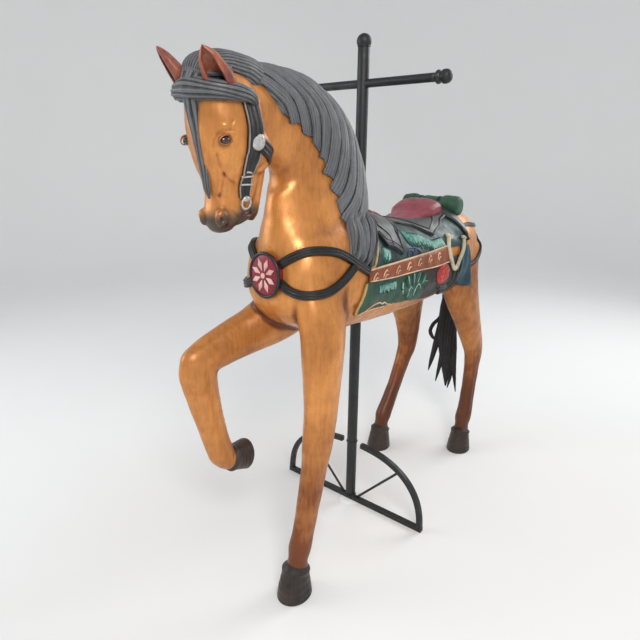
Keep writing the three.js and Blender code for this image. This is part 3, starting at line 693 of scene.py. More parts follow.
def ringTube(grid, side=left):
    # closed loop of rings, without caps
    rows, sides = grid.shape[:2]
    i, j = np.meshgrid(np.arange(rows), np.arange(sides), indexing="ij")
    k, m = (j + 1) % sides, (i + 1) % rows
    quads = np.stack([i * sides + j, i * sides + k, m * sides + k, m * sides + j], -1).reshape(-1, 4)
    return grid.reshape(-1, 3), [quads if side > 0 else quads[:, ::-1]]


def ear(side, drop):
    # a leaf rolled into a shell: rows run from root to tip, and the section is a horseshoe open to the front
    # whose rim thins out
    u = np.linspace(0, 1, 60)
    spine = curveAt(np.array([(62 * side, -664, 1516), (70 * side, -678, 1550 - drop / 3),
                              (76 * side, -704, 1584 - drop), (81 * side, -728, 1612 - drop),
                              (84 * side, -745, 1631 - drop)]), u)
    wide = np.interp(u, [0, 0.25, 0.5, 0.75, 0.92, 1], [24, 36, 35, 24, 10, 1.5])[:, None]
    deep = np.interp(u, [0, 0.25, 0.5, 0.75, 0.92, 1], [22, 25, 21, 14, 7, 1.5])[:, None]
    rim = np.radians(np.interp(u, [0, 0.2, 0.5, 0.8, 1], [170, 150, 138, 134, 150]))[:, None]
    along = unit(np.gradient(spine, axis=0))
    face = unit(np.array([0.42 * side, -0.9, 0.0]))
    across = unit(np.cross(along, face[None]))
    front = np.cross(across, along)
    v = np.linspace(-1, 1, 41)[None]

    def shell(shrink):
        # horseshoe of sine and cosine at each place of the spine, drawn in by a share for the inner face
        angle = v * rim
        c, s = np.sin(angle), -np.cos(angle)
        return (spine[:, None] + across[:, None] * (wide * shrink * c)[..., None]
                + front[:, None] * (deep * shrink * s)[..., None])

    outer, inner = shell(1.0), shell(0.80)
    return sheetTube(outer * mm, inner * mm)


eyes = newMesh("eyes", gather([eyeball(s) for s in (left, right)]))
lids = newMesh("eyelids", gather([eyelids(s) for s in (left, right)]))
ears = newMesh("ears", gather([ear(left, 15), ear(right, 0)]))


def groovedLimb(limb, steps, sides, strands, depth, twist=0.0, waver=0.0):
    # a limb whose skin is cut by grooves along it; twist turns them about the limb and waver makes them wave
    u = np.linspace(0, 1, steps + 1)[:, None]
    angle = np.linspace(0, 2 * np.pi, sides, endpoint=False)[None]
    phase = strands * (angle + twist * u * 2 * np.pi) + waver * np.sin(u * 21 + 3 * np.cos(angle))
    fine = 0.62 * np.abs(np.sin(phase / 2)) + 0.38 * np.abs(np.sin(phase * 1.5 + 1 + 2 * u))
    edge = np.minimum(1, 9 * np.minimum(u, 1 - u))
    grid = limbPoint(limb, u, angle, (fine - 0.75) * depth * edge * mm)
    ridge = np.broadcast_to(fine, grid.shape[:2])
    return tube(grid), np.append(ridge.ravel(), [0.5, 0.5])


hairRoll = {"across": (0, 0, 1), "stations": [
    (-96, -626, 1536, 10, 12), (-90, -660, 1534, 17, 20), (-60, -700, 1531, 23, 25), (0, -716, 1534, 28, 31),
    (60, -700, 1531, 23, 25), (92, -660, 1528, 20, 22), (96, -616, 1520, 16, 18), (90, -590, 1506, 8, 10)]}
hairRollUpper = {"across": (0, 0, 1), "stations": [
    (-60, -640, 1572, 18, 18), (-36, -686, 1570, 22, 24), (0, -698, 1572, 24, 26), (36, -686, 1570, 22, 24),
    (58, -640, 1572, 18, 18)]}
faceLock = {"stations": [
    (0, -690, 1580, 34, 26), (0, -716, 1550, 30, 20), (-2, -712, 1490, 22, 16), (1, -704, 1430, 16, 13),
    (4, -696, 1370, 12, 11), (7, -690, 1310, 9, 9), (9, -684, 1276, 3, 3)]}
tuft = {"across": (1, 0, 0), "stations": [
    (0, -716, 1560, 30, 14), (0, -690, 1586, 52, 30), (0, -640, 1592, 62, 40), (0, -590, 1588, 66, 44),
    (2, -540, 1576, 60, 50), (4, -490, 1560, 40, 48)]}
hairParts = [groovedLimb(hairRoll, 150, 96, 12, 5, 0.35, 0.8),
             groovedLimb(hairRollUpper, 90, 80, 10, 5, 0.3, 0.8),
             groovedLimb(faceLock, 140, 64, 8, 4.5, 0.12, 0.7), groovedLimb(tuft, 110, 160, 30, 5, 0.0, 0.5)]
forelock = newMesh("forelock", gather([p for p, _ in hairParts]))
setMask(forelock, "ridge", np.concatenate([r for _, r in hairParts]))


maneLook = {"thick": 24, "sweep": 0.24, "slant": 0.36, "locks": 13, "fine": 78, "lockDepth": 7,
            "fineDepth": 3.2}
hangShape = [(0, 1.1), (0.2, 1.5), (0.4, 1.66), (0.6, 1.7), (0.8, 1.56), (1, 1.15)]


def maneSheet(rows=420, columns=170):
    # rows run back along the crest and columns run from the free edge on the left over the crest to the
    # right. A strand keeps one phase: its place along the neck less a slant that grows as it falls
    s = np.linspace(0, 1, rows)[:, None]
    t = np.linspace(0, 1, columns)[None]
    leftward = 1 - t * 1.3
    fall = np.where(leftward > 0, leftward, -leftward * 2.4)
    back = s + maneLook["sweep"] * fall**1.3 * (1 - s)
    phase = back - maneLook["slant"] * fall**1.15 + 0.006 * np.sin(9 * fall + 14 * back)
    locks = phase * maneLook["locks"]
    inLock = locks - np.floor(locks)
    scallop = 0.10 * (1 - inLock) ** 1.5 + 0.03 * np.sin(phase * 61)
    hang = np.interp(back.ravel(), *zip(*hangShape)).reshape(back.shape) + scallop
    angle = -np.pi / 2 + hang * leftward
    rim = np.minimum(1, np.minimum(5 * np.minimum(t, 1 - t), 12 * s + 0.1))
    big = 1 - np.abs(2 * inLock - 0.7) ** 2
    fine = np.abs(np.sin(np.pi * maneLook["fine"] * phase + 1.5 * np.sin(locks * 2.1)))
    hair = np.abs(np.sin(np.pi * maneLook["fine"] * 2.3 * phase + 2 * np.sin(locks)))
    relief = maneLook["lockDepth"] * (big - 0.6) + maneLook["fineDepth"] * (fine - 0.6) + 1.1 * (hair - 0.6)
    lift = (maneLook["thick"] - 3) * (0.3 + 0.7 * rim) + relief * (0.35 + 0.65 * rim)
    u = 1 - 0.9 * back
    outer = limbPoint(neck, u, angle, lift * mm)
    inner = limbPoint(neck, u[:, ::8], angle[:, ::8], -18 * mm)
    ridge = np.clip(0.25 + 0.5 * fine + 0.35 * hair - 0.3 * (1 - np.clip(big + 0.35, 0, 1)), 0, 1)
    part = sheetTube(outer, inner)
    mask = np.concatenate([np.concatenate([ridge, np.zeros(inner.shape[:2])], 1).ravel(), [0, 0]])
    return part, mask


def shoulderLocks(rows=130, columns=90):
    # the last locks, which lie over the shoulder: rows run back, columns run up to the crest
    s = np.linspace(0, 1, rows)[:, None]
    up = np.linspace(0, 1, columns)[None]
    y = (-290 + 65 * up) + ((-196 + 151 * up) - (-290 + 65 * up)) * s
    inLock = s * 4.5 - np.floor(s * 4.5)
    tip = (1 - up) ** 2 * (26 * (1 - inLock) ** 1.4 + 5 * np.sin(s * 50))
    z = (1100 - 50 * s - tip) * (1 - up) + 1190 * up
    fine = np.abs(np.sin(np.pi * 21 * s + 0.9 * np.sin(4 * up)))
    hair = np.abs(np.sin(np.pi * 50 * s + 2 * up))
    big = 1 - np.abs(2 * inLock - 0.7) ** 2
    rim = np.minimum(1, np.minimum(7 * up + 0.15, 9 * np.minimum(s, 1 - s) + 0.1))
    lift = (13 + 12 * up + 5 * (big - 0.6) + 3 * (fine - 0.6) + 1.2 * (hair - 0.6)) * rim
    outer = onFlank(y, z, lift)
    inner = onFlank(y[:, ::8], z[:, ::8], -12)
    ridge = np.clip(0.25 + 0.5 * fine + 0.35 * hair - 0.3 * (1 - np.clip(big + 0.35, 0, 1)), 0, 1)
    mask = np.concatenate([np.concatenate([ridge, np.zeros(inner.shape[:2])], 1).ravel(), [0, 0]])
    return sheetTube(outer, inner), mask


maneParts = [maneSheet(), shoulderLocks()]
mane = newMesh("mane", gather([p for p, _ in maneParts]))
setMask(mane, "ridge", np.concatenate([m for _, m in maneParts]))
print("mane:", len(mane.data.polygons), "faces")


def hoof(stations, across=(1, 0, 0)):
    # horn with rings that run round it under a rounded coronet
    u = np.linspace(0, 1, 90)[:, None]
    angle = np.linspace(0, 2 * np.pi, 64, endpoint=False)[None]
    rings = 0.5 * np.sin(u * 60 + 2
                         * np.sin(angle)) * smoothStep(u, 0.3, 0.45) * (1 - smoothStep(u, 0.93, 0.99))
    band = 3.0 * np.exp(-(((u - 0.24) / 0.07) ** 2))
    return tube(limbPoint({"stations": stations, "across": across}, u, angle, (rings + band) * mm))


def standingHoof(spot):
    # ovals that widen from the coronet to the floor
    x, y = spot
    return hoof([(x, y + 14, 114, 29, 34), (x, y + 10, 100, 41, 46), (x, y + 6, 80, 43, 49),
                 (x, y + 2, 34, 50, 58),
                 (x, y + 1, 4, 53, 62), (x, y + 1, 0, 52, 61)])


hooves = newMesh("hooves", gather([standingHoof(spot) for spot in hoofSpots.values()] + [hoof([
    (-135, -548, 395, 29, 33), (-135, -532, 390, 41, 43), (-135, -500, 384, 45, 48), (-134, -470, 379, 48,
                                                                                      54),
    (-134, -466, 378, 47, 53)])]))
print("hooves:", len(hooves.data.polygons), "faces")


def lathe(profile, sides=64):
    # profile of radius and height turned about Z
    p = np.asarray(profile, float) * mm
    a = np.linspace(0, 2 * np.pi, sides, endpoint=False)
    return np.stack(np.broadcast_arrays(p[:, :1] * np.cos(a), p[:, :1] * np.sin(a), p[:, 1:2]), -1)


def archPoint(turn, side):
    # half of a full-shouldered oval: sine and cosine raised to the same small power
    half, top, power = 328, 267, 2.5
    return np.stack([side * half * np.abs(np.sin(turn)) ** (2 / power), 0 * turn,
                     top * np.abs(np.cos(turn)) ** (2 / power)], -1)


def squareBar(path, half):
    # square bar with rounded edges carried along a path in the plane of the foot
    path = np.asarray(path, float)
    along = unit(np.gradient(path, axis=0))
    level = np.array([0.0, 1.0, 0.0])
    out = np.cross(level, along)
    a = np.linspace(0, 2 * np.pi, 48, endpoint=False)
    c, s = squared(np.cos(a), 9), squared(np.sin(a), 9)
    return tube((path[:, None] + out[:, None] * (half * c)[None, :, None] + level
                 * (half * s)[None, :, None]) * mm)


def rod(a, b, radius, sides=24):
    # circle carried along the straight line from a to b
    a, b = np.asarray(a, float), np.asarray(b, float)
    along = unit(b - a)
    side = unit(np.cross(along, (0.0, 1.0, 0.0)))
    rise = np.cross(along, side)
    t = np.linspace(0, 1, 12)[:, None, None]
    turn = np.linspace(0, 2 * np.pi, sides, endpoint=False)[None, :, None]
    return tube((a + (b - a) * t + radius * (side * np.cos(turn) + rise * np.sin(turn))) * mm)


def weldBead(radius, height, centre=(0, 0)):
    # ring of weld with small ripples round a foot
    a = np.linspace(0, 2 * np.pi, 90, endpoint=False)[:, None]
    b = np.linspace(0, 2 * np.pi, 12, endpoint=False)[None]
    r = radius + (3.2 + 0.5 * np.sin(a * 22)) * np.cos(b)
    grid = np.stack([centre[0] + r * np.cos(a), centre[1] + r * np.sin(a) * np.ones_like(b),
                     height + (3 + 0.5 * np.sin(a * 22)) * np.sin(b) + 0 * a], -1)
    return ringTube(grid * mm)


def turned(profile, side):
    # the lathe laid along X at the handle's height
    grid = lathe(profile)
    return tube(np.stack([grid[..., 2] * side, grid[..., 0], grid[..., 1] + 1617 * mm], -1))


def roundedBall(centre, radius, low, rows=30):
    # half circle from a low angle to the top, as radius and height
    t = np.linspace(low, np.pi / 2 - 0.02, rows)
    return [(radius * math.cos(v), centre + radius * math.sin(v)) for v in t]


def handleRings(half=273.5, radius=13.5, height=1617):
    # round bar along X: a level line of middles with one circle of cosine and sine at each
    along = np.linspace(-half, half, 30)[:, None]
    turn = np.linspace(0, 2 * np.pi, 48, endpoint=False)[None]
    return np.stack(np.broadcast_arrays(along, radius * np.cos(turn), height + radius * np.sin(turn)),
                    -1) * mm


knobProfile = [(15, 274), (18.5, 274.4), (20, 276), (20.3, 279), (20, 282), (18, 284.5), (15.4, 286.5),
               (15, 289), (15.4, 291.5),
               (18.5, 293.5), (20.6, 296), (21, 300), (21, 305), (20.4, 309), (18.6, 313.5), (15.5, 317.5),
               (11, 320.2), (6, 321.6), (2, 322)]
pole = newMesh("pole_tube",
               tube(lathe([(19.4, 20.4), (20, 21)] + [(20, z) for z in range(60, 1720, 60)]
                          + [(20, 1727), (19.2, 1728)])))
poleBall = newMesh("pole_ball_finial",
                   tube(lathe([(20.6, 1728.4), (21.6, 1729.4), (21.6, 1731)]
                              + roundedBall(1745, 24.5, -0.58))))
handleBar = newMesh("handle_crossbar", tube(handleRings()))
knobs = {name: newMesh("handle_end_" + name, turned(knobProfile, side)) for name,
         side in (("left", left), ("right", right))}
footBar = newMesh("foot_bar_steel", squareBar([(x, 0, 10) for x in np.linspace(-338, 338, 40)], 10))
archTurn = np.linspace(0.055, 1, 80) * np.pi / 2
arches = {name: newMesh("foot_arch_steel_" + name,
                        squareBar(np.vstack([archPoint(archTurn, side)[:-1], [(side * 328, 0, 19)]]), 10))
          for name, side in (("left", left), ("right", right))}
spokeTop = archPoint(np.array(math.radians(39)), 1)
spokes = {name: newMesh("foot_spoke_rod_" + name,
                        rod((34 * side, 0, 19), (side * spokeTop[0], 0, spokeTop[2]), 5))
          for name, side in (("left", left), ("right", right))}
welds = newMesh("foot_welds", gather([weldBead(20, 21), weldBead(20, 273)]))

def evenly(points, count):
    # the same bent line with its points an equal distance apart
    p = np.asarray(points, float)
    run = np.r_[0, np.cumsum(np.linalg.norm(np.diff(p, axis=0), axis=1))]
    at = np.linspace(0, run[-1], count)
    return np.stack([np.interp(at, run, p[:, k]) for k in range(p.shape[1])], 1)


def smoothLine(points, count):
    # the smooth curve through the points, cut into even lengths
    return evenly(curveAt(points, np.linspace(0, 1, 14 * len(points))), count)


def atTurn(y, turn, lift, side):
    # point of the body at a length in millimetres and a turn, for the left or the right flank
    return roundBody(y * mm, turn if side > 0 else np.pi - turn, lift * mm)


def flankSheet(low, high, lift, side=left, count=120, columns=40, highTurn=None, relief=None, edge=3.0,
               under=5.0):
    # cloth between two lines on the flank: rows run along them, columns blend length and turn from the lower
    # line to the upper, and the sheet thins to a rounded rim
    a, b = evenly(low, count), evenly(high, count)
    turnLow = turnAt(a[:, 0] * mm, a[:, 1] * mm)
    turnHigh = turnAt(b[:, 0] * mm,
                      b[:, 1] * mm) if highTurn is None else np.full(count, math.radians(highTurn))
    t = np.linspace(0, 1, columns)[None]
    y = a[:, :1] + (b[:, :1] - a[:, :1]) * t
    turn = turnLow[:, None] + (turnHigh - turnLow)[:, None] * t
    s = np.linspace(0, 1, count)[:, None]
    rim = np.sqrt(np.clip(1 - np.maximum(1 - 14 * np.minimum(s, 1 - s),
                                         1 - 9 * np.minimum(t, 1 - t)).clip(0) ** 2, 0, 1))
    extra = 0 if relief is None else relief(y, girth["height"] / mm + np.sin(turn)
                                            * skinRadius(y * mm, turn) / mm)
    outer = atTurn(y, turn, lift - edge + edge * rim + extra * rim, side)
    inner = atTurn(y[:, ::6], turn[:, ::6], lift - edge - under + 0 * y[:, ::6], side)
    return sheetTube(outer, inner)


def flankStroke(points, half, height, base, side=left, count=60, bent=False, taper=0.25, columns=9):
    # ridge along a line on the flank with a half-round section; its width closes at both ends
    line = evenly(points, count) if bent else smoothLine(points, count)
    along = unit(np.gradient(line, axis=0))
    level = np.stack([-along[:, 1], along[:, 0]], 1)
    s = np.linspace(0, 1, count)
    width = half * np.minimum(1, np.sqrt(np.clip(np.minimum(s, 1 - s) / max(taper, 1e-3) + 0.04, 0, 1)))
    v = np.linspace(-1, 1, columns)[None]
    y = line[:, :1] + level[:, :1] * width[:, None] * v
    z = line[:, 1:] + level[:, 1:] * width[:, None] * v
    outer = onFlank(y, z, base + height * np.sqrt(1 - v**2) + 0 * y, side)
    inner = onFlank(y[:, ::4], z[:, ::4], base - 4 + 0 * y[:, ::4], side)
    return sheetTube(outer, inner)


def strap(line, normals, half, thick, ribs=2.0, columns=25):
    # leather carried along a line in space: flat section across the path with ribs raised along it
    line, normals = np.asarray(line, float), unit(np.asarray(normals, float))
    along = unit(np.gradient(line, axis=0))
    across = unit(np.cross(normals, along))
    normals = np.cross(along, across)
    half = np.broadcast_to(half, (len(line),))[:, None]
    v = np.linspace(-1, 1, columns)[None]
    top = thick * (1 - np.abs(v) ** 8 * 0.6) + ribs * (0.5 + 0.5 * np.cos(np.pi * 3 * v)) * (np.abs(v) < 0.98)
    outer = (line[:, None] + across[:, None] * (half * v)[..., None] * mm + normals[:, None]
             * (top * mm)[..., None])
    inner = line[:, None] + across[:, None] * (half * v[:, ::4])[..., None] * mm - normals[:, None] * (3 * mm)
    return sheetTube(outer, inner)


def strapOn(tree, points, half, thick, lift=2.0, ribs=2.0, side=left, count=70, ease=3):
    # the strap's line is a smooth curve through the points, dropped on a skin and eased
    line = smoothLine(np.asarray(points, float) * (side, 1, 1), count)
    place, normal = onTree(tree, line, lift)
    for _ in range(ease):
        place[1:-1] = (place[:-2] + place[1:-1] * 2 + place[2:]) / 4
        normal[1:-1] = unit(normal[:-2] + normal[1:-1] * 2 + normal[2:])
    width = np.interp(np.linspace(0, 1, count), np.linspace(0, 1, len(np.atleast_1d(half))),
                      np.atleast_1d(half))
    return strap(place, normal, width, thick, ribs)


def bothSides(make):
    # the same piece made for the left and the right flank
    return gather([make(left), make(right)])


saddle = {
    "seat": {"power": 2.4, "stations": [
        (0, 28, 1160, 34, 12), (0, 50, 1162, 56, 36), (0, 70, 1152, 62, 36), (0, 100, 1140, 62, 27),
        (0, 190, 1133, 60, 25), (0, 270, 1134, 60, 26), (0, 335, 1150, 72, 27), (0, 385, 1170, 95, 36),
        (0, 440, 1180, 98, 43), (0, 478, 1172, 84, 36), (0, 498, 1164, 56, 16)]},
    "hem": [(-108, 1135), (-100, 1120), (-80, 1094), (-50, 1087), (-14, 1070), (5, 1056), (12, 1108),
            (40, 1136),
            (85, 1153), (130, 1142), (198, 1127), (285, 1090), (320, 1102), (354, 1112), (400, 1132),
            (455, 1144),
            (485, 1106), (518, 1052), (532, 1056)],
    "top": [(-78, 1185), (120, 1185), (300, 1185), (420, 1188), (520, 1180)],
}


def seatPad():
    # squared oval along the seat line, raised to a welt at its edges and rippled by a slow sine on top
    u = np.linspace(0, 1, 150)[:, None]
    angle = np.linspace(0, 2 * np.pi, 96, endpoint=False)[None]
    welt = 1.6 * np.exp(-((np.cos(angle) ** 2 - 0.93) / 0.03) ** 2)
    folds = 0.8 * np.sin(u * 36 + 2 * np.cos(angle)) * np.sin(angle) ** 2
    return tube(limbPoint(saddle["seat"], u, angle, (welt + folds) * mm))


seat = newMesh("seat", gather([seatPad(), egg((0, 44, 1176), (40, 21, 27), 0.25, 48)]))
skirt = newMesh("saddle_skirt", bothSides(lambda s: flankSheet(
    saddle["hem"], saddle["top"], 15, s, 260, 46, 80, lambda y, z: 1.2 * np.sin(y / 37 + z / 23))))
hem = np.array(saddle["hem"], float)
skirtBorder = newMesh("skirt_border", bothSides(lambda s: gather([
    flankStroke(hem + (0, 4), 3.2, 3.4, 14.5, s, 240, True, 0.01),
    flankStroke((hem + (0, 20))[1:-1], 2.2, 2.4, 14.8, s, 240, True, 0.01),
    flankStroke([(-60, 1176), (-83, 1156), (-49, 1124), (-50, 1092)], 2.4, 2.6, 14.8, s, 60, True, 0.01),
    flankStroke([(40, 1166), (95, 1176), (150, 1166)], 2.2, 2.4, 14.8, s, 50),
    flankStroke([(398, 1160), (415, 1178), (470, 1178), (512, 1170)], 2.4, 2.6, 14.8, s, 50)])))

cloth = {
    "front": [(-241, 896), (-236, 930), (-226, 960), (-224, 985), (-200, 1020), (-163, 1041), (-136, 1103),
              (-124, 1124), (-100, 1180)],
    "bottom": [(-240, 893), (-185, 898), (-78, 895), (79, 882), (222, 861), (300, 861), (345, 870),
               (400, 884), (440, 905)],
    "waist": [(-215, 1004), (-80, 998), (100, 994), (243, 990), (340, 994), (372, 1000), (400, 1004),
              (430, 1006), (452, 1008)],
    "shoulderLine": [(-204, 1030), (-60, 1034), (220, 1036), (330, 1040), (400, 1040), (478, 1040),
                     (522, 1040)],
    "crest": [(-98, 1182), (100, 1182), (300, 1182), (420, 1186), (524, 1180)],
}
blanket = newMesh("blanket_upper", bothSides(lambda s: flankSheet(
    cloth["shoulderLine"], cloth["crest"], 8, s, 150, 60, 76, lambda y, z: 1.8 * np.sin(y / 26 + z / 17)
                                                                  * np.sin(z / 21))))
lowerCloth = newMesh("blanket_lower", bothSides(lambda s: flankSheet(
    cloth["bottom"], cloth["waist"], 8, s, 160, 46, None, lambda y, z: 1.6 * np.sin(y / 31 - z / 19))))
lowerY = pointsOf(lowerCloth)[:, 1] * 1000
setMask(lowerCloth, "rear", smoothStep(lowerY + 0.5 * (pointsOf(lowerCloth)[:, 2] * 1000 - 930), 120, 200))
belt = newMesh("girth_belt", bothSides(lambda s: flankSheet(
    [(-206, 1003), (-80, 995), (100, 992), (243, 987), (350, 991)],
    [(-202, 1037), (-60, 1038), (120, 1040), (220, 1041), (350, 1048)], 13, s, 130, 14, None,
    lambda y, z: 0.6 * np.sin(y / 9))))


def scrollMarks(side):
    # small hooked strokes, one every sixty millimetres along the belt
    marks = []
    for k, y in enumerate((-178, -118, -40, 34, 112, 190, 262)):
        z = 1014 + 0.02 * y
        marks.append(flankStroke([(y - 12, z - 8), (y, z + 8), (y + 12, z + 13), (y + 15, z + 6)], 2.6, 2.4,
                                 12.6, side, 26))
        marks.append(flankStroke([(y - 2, z - 12), (y + 9, z - 2), (y + 20, z - 3)], 2.0, 2.0, 12.6, side,
                                 22))
    return gather(marks)


creamLines = newMesh("cream_lines", bothSides(lambda s: gather([
    flankStroke([(-204, 1037), (-60, 1039), (120, 1041), (220, 1042), (346, 1049)], 3.2, 3.4, 12, s, 120,
                False, 0.02),
    flankStroke([(-206, 1003), (-80, 995), (100, 992), (243, 987), (350, 991)], 2.2, 2.6, 12, s, 120, False,
                0.02),
    scrollMarks(s),
    flankStroke([(-189, 903), (-160, 913), (-135, 917), (-112, 915), (-100, 909), (-86, 911), (-64, 901),
                 (-45, 898),
                 (-30, 893), (-20, 898)], 2.4, 2.4, 7.5, s, 80),
    flankStroke([(-240, 894), (-185, 899), (-78, 896)], 1.6, 1.8, 7.5, s, 60)])))
frontEdge = newMesh("cloth_front_edge", bothSides(lambda s: gather([
    flankStroke([(-241, 896), (-236, 930), (-226, 960), (-216, 998)], 4.4, 4.0, 7, s, 60, False, 0.05),
    flankStroke([(-196, 1042), (-176, 1044), (-150, 1078), (-136, 1103), (-124, 1124), (-108, 1165)], 4.4,
                4.0, 8, s, 60,
                False, 0.05)])))
shoe = [(373, 1080), (360, 1064), (350, 1047), (352, 1016), (367, 987), (382, 966), (397, 958), (414, 966),
        (430, 986),
        (452, 1008), (468, 1032), (476, 1050), (478, 1065)]
horseshoe = newMesh("horseshoe", bothSides(lambda s: gather([
    flankStroke(shoe, 8.5, 7, 13, s, 90, False, 0.03, 13),
    flankStroke([(356, 1084), (374, 1082), (388, 1072)], 7, 7, 14, s, 20, False, 0.1),
    flankStroke([(464, 1070), (480, 1068), (492, 1062)], 6, 6, 14, s, 20, False, 0.1)])))


def boss(side):
    # domed oval with a shallow rosette cut into it
    r = np.linspace(0.02, 1, 26)[:, None]
    a = np.linspace(0, 2 * np.pi, 96, endpoint=False)[None]
    y, z = 306 + 50 * r * np.cos(a), 950 + 38 * r * np.sin(a)
    lift = 11 + 9 * np.sqrt(1 - r**2 * 0.98) + 1.6 * np.cos(5 * a + 3 * r) * np.sin(np.pi * r)
    skirtRing = onFlank(306 + 50 * np.cos(a), 950 + 38 * np.sin(a), 2 + 0 * a, side)
    return tube(np.concatenate([onFlank(y, z, lift, side), skirtRing], 0))


redBoss = newMesh("red_boss", bothSides(boss))
bossStrokes = newMesh("boss_strokes", bothSides(lambda s: gather([
    flankStroke([(306 + 12 * math.cos(a), 950 + 9 * math.sin(a)),
                 (306 + 26 * math.cos(a + 0.25), 950 + 19 * math.sin(a + 0.25)),
                 (306 + 37 * math.cos(a + 0.1), 950 + 27 * math.sin(a + 0.1))], 3, 3, 17.5, s, 22) for a in
    (0.3, 1.2, 2.1, 3.1, 4.0, 4.9, 5.7)])))
ropes = newMesh("rope_loops", bothSides(lambda s: gather([
    flankStroke([(440, 940), (441, 905), (422, 877), (372, 866), (322, 870)], 9, 8, 9, s, 60, False, 0.06,
                13),
    flankStroke([(404, 948), (402, 912), (380, 890), (340, 888), (303, 892)], 8, 8, 9, s, 60, False, 0.06,
                13)])))
flap = newMesh("teal_flap", bothSides(lambda s: flankSheet(
    [(473, 930), (492, 896), (520, 862), (560, 856), (596, 856)],
    [(456, 1052), (480, 1050), (500, 1046), (520, 1040), (534, 1034)], 9, s, 70, 50, None,
    lambda y, z: 3.2 * np.sin(y / 8 + (z - 950) / 60))))


def featherRow(points, drop, lean, half, count, side, lift=9.5):
    # short strokes hung side by side from a line, each leaning back
    line = evenly(points, count)
    wave = 1 + 0.22 * np.sin(np.arange(count) * 2.4)
    return [flankStroke([(y, z), (y + lean * 0.5 + 2, z - drop * w * 0.55), (y + lean, z - drop * w)], half,
                        3.0, lift, side,
                        14, False, 0.45, 7) for (y, z), w in zip(line, wave)]


bandTop = [(60, 1127), (96, 1114), (175, 1102), (218, 1088), (248, 1074), (318, 1078)]
feathersDeep = newMesh("feathers_teal", bothSides(lambda s: gather(
    featherRow([(y, z + 5) for y, z in bandTop], 44, 12, 5.2, 34, s, 8.2)
    + featherRow([(-112, 1098), (-72, 1084)], 42, -8, 6.0, 6, s, 8.2)
    + featherRow([(-148, 986), (-45, 984)], 34, 4, 5.6, 11, s, 8.2))))
feathersPale = newMesh("feathers_pale", bothSides(lambda s: gather(
    featherRow(bandTop, 28, 10, 1.7, 36, s, 11) + featherRow([(-108, 1092), (-78, 1082)], 28, -6, 1.9, 5, s,
                                                             11)
    + featherRow([(-144, 980), (-48, 978)], 22, 4, 1.7, 12, s, 11))))
palmShape = newMesh("palm_leaves", bothSides(lambda s: gather([
    flankStroke([(92, 886), (92 + 60 * math.cos(a), 930 + 30 * math.sin(a)),
                 (92 + 92 * math.cos(a), 934 + 56 * math.sin(a))],
                13, 7, 7.5, s, 40, False, 0.6, 13) for a in np.radians([10, 42, 74, 106, 138, 170])])))
palmLines = newMesh("palm_lines", bothSides(lambda s: gather([
    flankStroke([(53, 905), (51, 935), (60, 944), (72, 934)], 1.8, 2.4, 13, s, 30),
    flankStroke([(92, 905), (96, 930), (108, 945), (122, 940), (134, 925)], 1.8, 2.4, 13, s, 34),
    flankStroke([(46, 952), (40, 972), (34, 984)], 1.8, 2.2, 13, s, 20),
    flankStroke([(76, 954), (76, 972), (72, 988)], 1.8, 2.2, 13, s, 20),
    flankStroke([(104, 954), (112, 970), (118, 984)], 1.8, 2.2, 13, s, 20),
    flankStroke([(140, 940), (152, 955), (160, 968)], 1.8, 2.2, 13, s, 20),
    flankStroke([(16, 925), (6, 944), (4, 966)], 1.8, 2.2, 12, s, 20)])))
swirls = newMesh("blue_swirls", bothSides(lambda s: gather([
    flankStroke([(42, 1046), (54, 1064), (78, 1062), (86, 1049), (70, 1045)], 1.8, 2.4, 9.5, s, 40),
    flankStroke([(92, 1046), (104, 1064), (128, 1058), (132, 1046)], 1.8, 2.4, 9.5, s, 34),
    flankStroke([(66, 1072), (96, 1070), (126, 1066)], 1.6, 2.0, 9.5, s, 30)])))
bandPanel = newMesh("maneside_border", bothSides(lambda s: gather([
    flankStroke([(-104, 1188), (-126, 1149), (-160, 1112), (-186, 1076), (-204, 1046)], 4.5, 6, 9, s, 60,
                False, 0.03)])))
print("saddle and cloths laid on")

blackStraps = newMesh("breast_straps", bothSides(lambda s: gather([
    strapOn(bodyTree,
            [(50, -472, 1078), (90, -457, 1106), (115, -419, 1117), (143, -373, 1118), (160, -330, 1109),
                       (171, -297, 1092), (182, -260, 1067), (195, -206, 1036)], 14, 8, 4, 2.6, s, 90, 5),
    strapOn(bodyTree,
            [(48, -470, 1024), (92, -461, 1000), (123, -445, 992), (148, -418, 992), (160, -374, 997),
                       (167, -337, 1015), (173, -307, 1034), (176, -268, 1062)], 14, 8, 4, 2.6, s, 90, 5)])))
breeching = newMesh("breeching_straps", bothSides(lambda s: gather([
    strapOn(bodyTree,
            [(150, 516, 1104), (148, 580, 1106), (132, 662, 1092), (90, 730, 1072), (40, 770, 1052)], 9, 5,
            3, 1.6, s),
    strapOn(bodyTree,
            [(190, 560, 938), (190, 611, 952), (176, 673, 982), (150, 712, 1020), (110, 745, 1046)], 9, 5, 3,
            1.6, s)])))


medallionLook = {"across": 56, "up": 64, "front": -482, "dome": 7, "height": 1041, "petals": 8}


def medallionDisc():
    # oval dome: the height falls from the middle to the rim as the root of one less the radius squared
    r = np.linspace(0.02, 1, 24)[:, None]
    a = np.linspace(0, 2 * np.pi, 96, endpoint=False)[None]
    wide, tall, middle = medallionLook["across"], medallionLook["up"], medallionLook["height"]
    x, z = wide * r * np.cos(a), middle + tall * r * np.sin(a)
    y = medallionLook["front"] - medallionLook["dome"] * np.sqrt(1 - 0.98 * r**2) + 0 * a
    back = np.stack([wide * np.cos(a), -450 + 0 * a, middle + tall * np.sin(a)], -1)
    return tube(np.concatenate([np.stack([x, y, z], -1), back], 0) * mm)


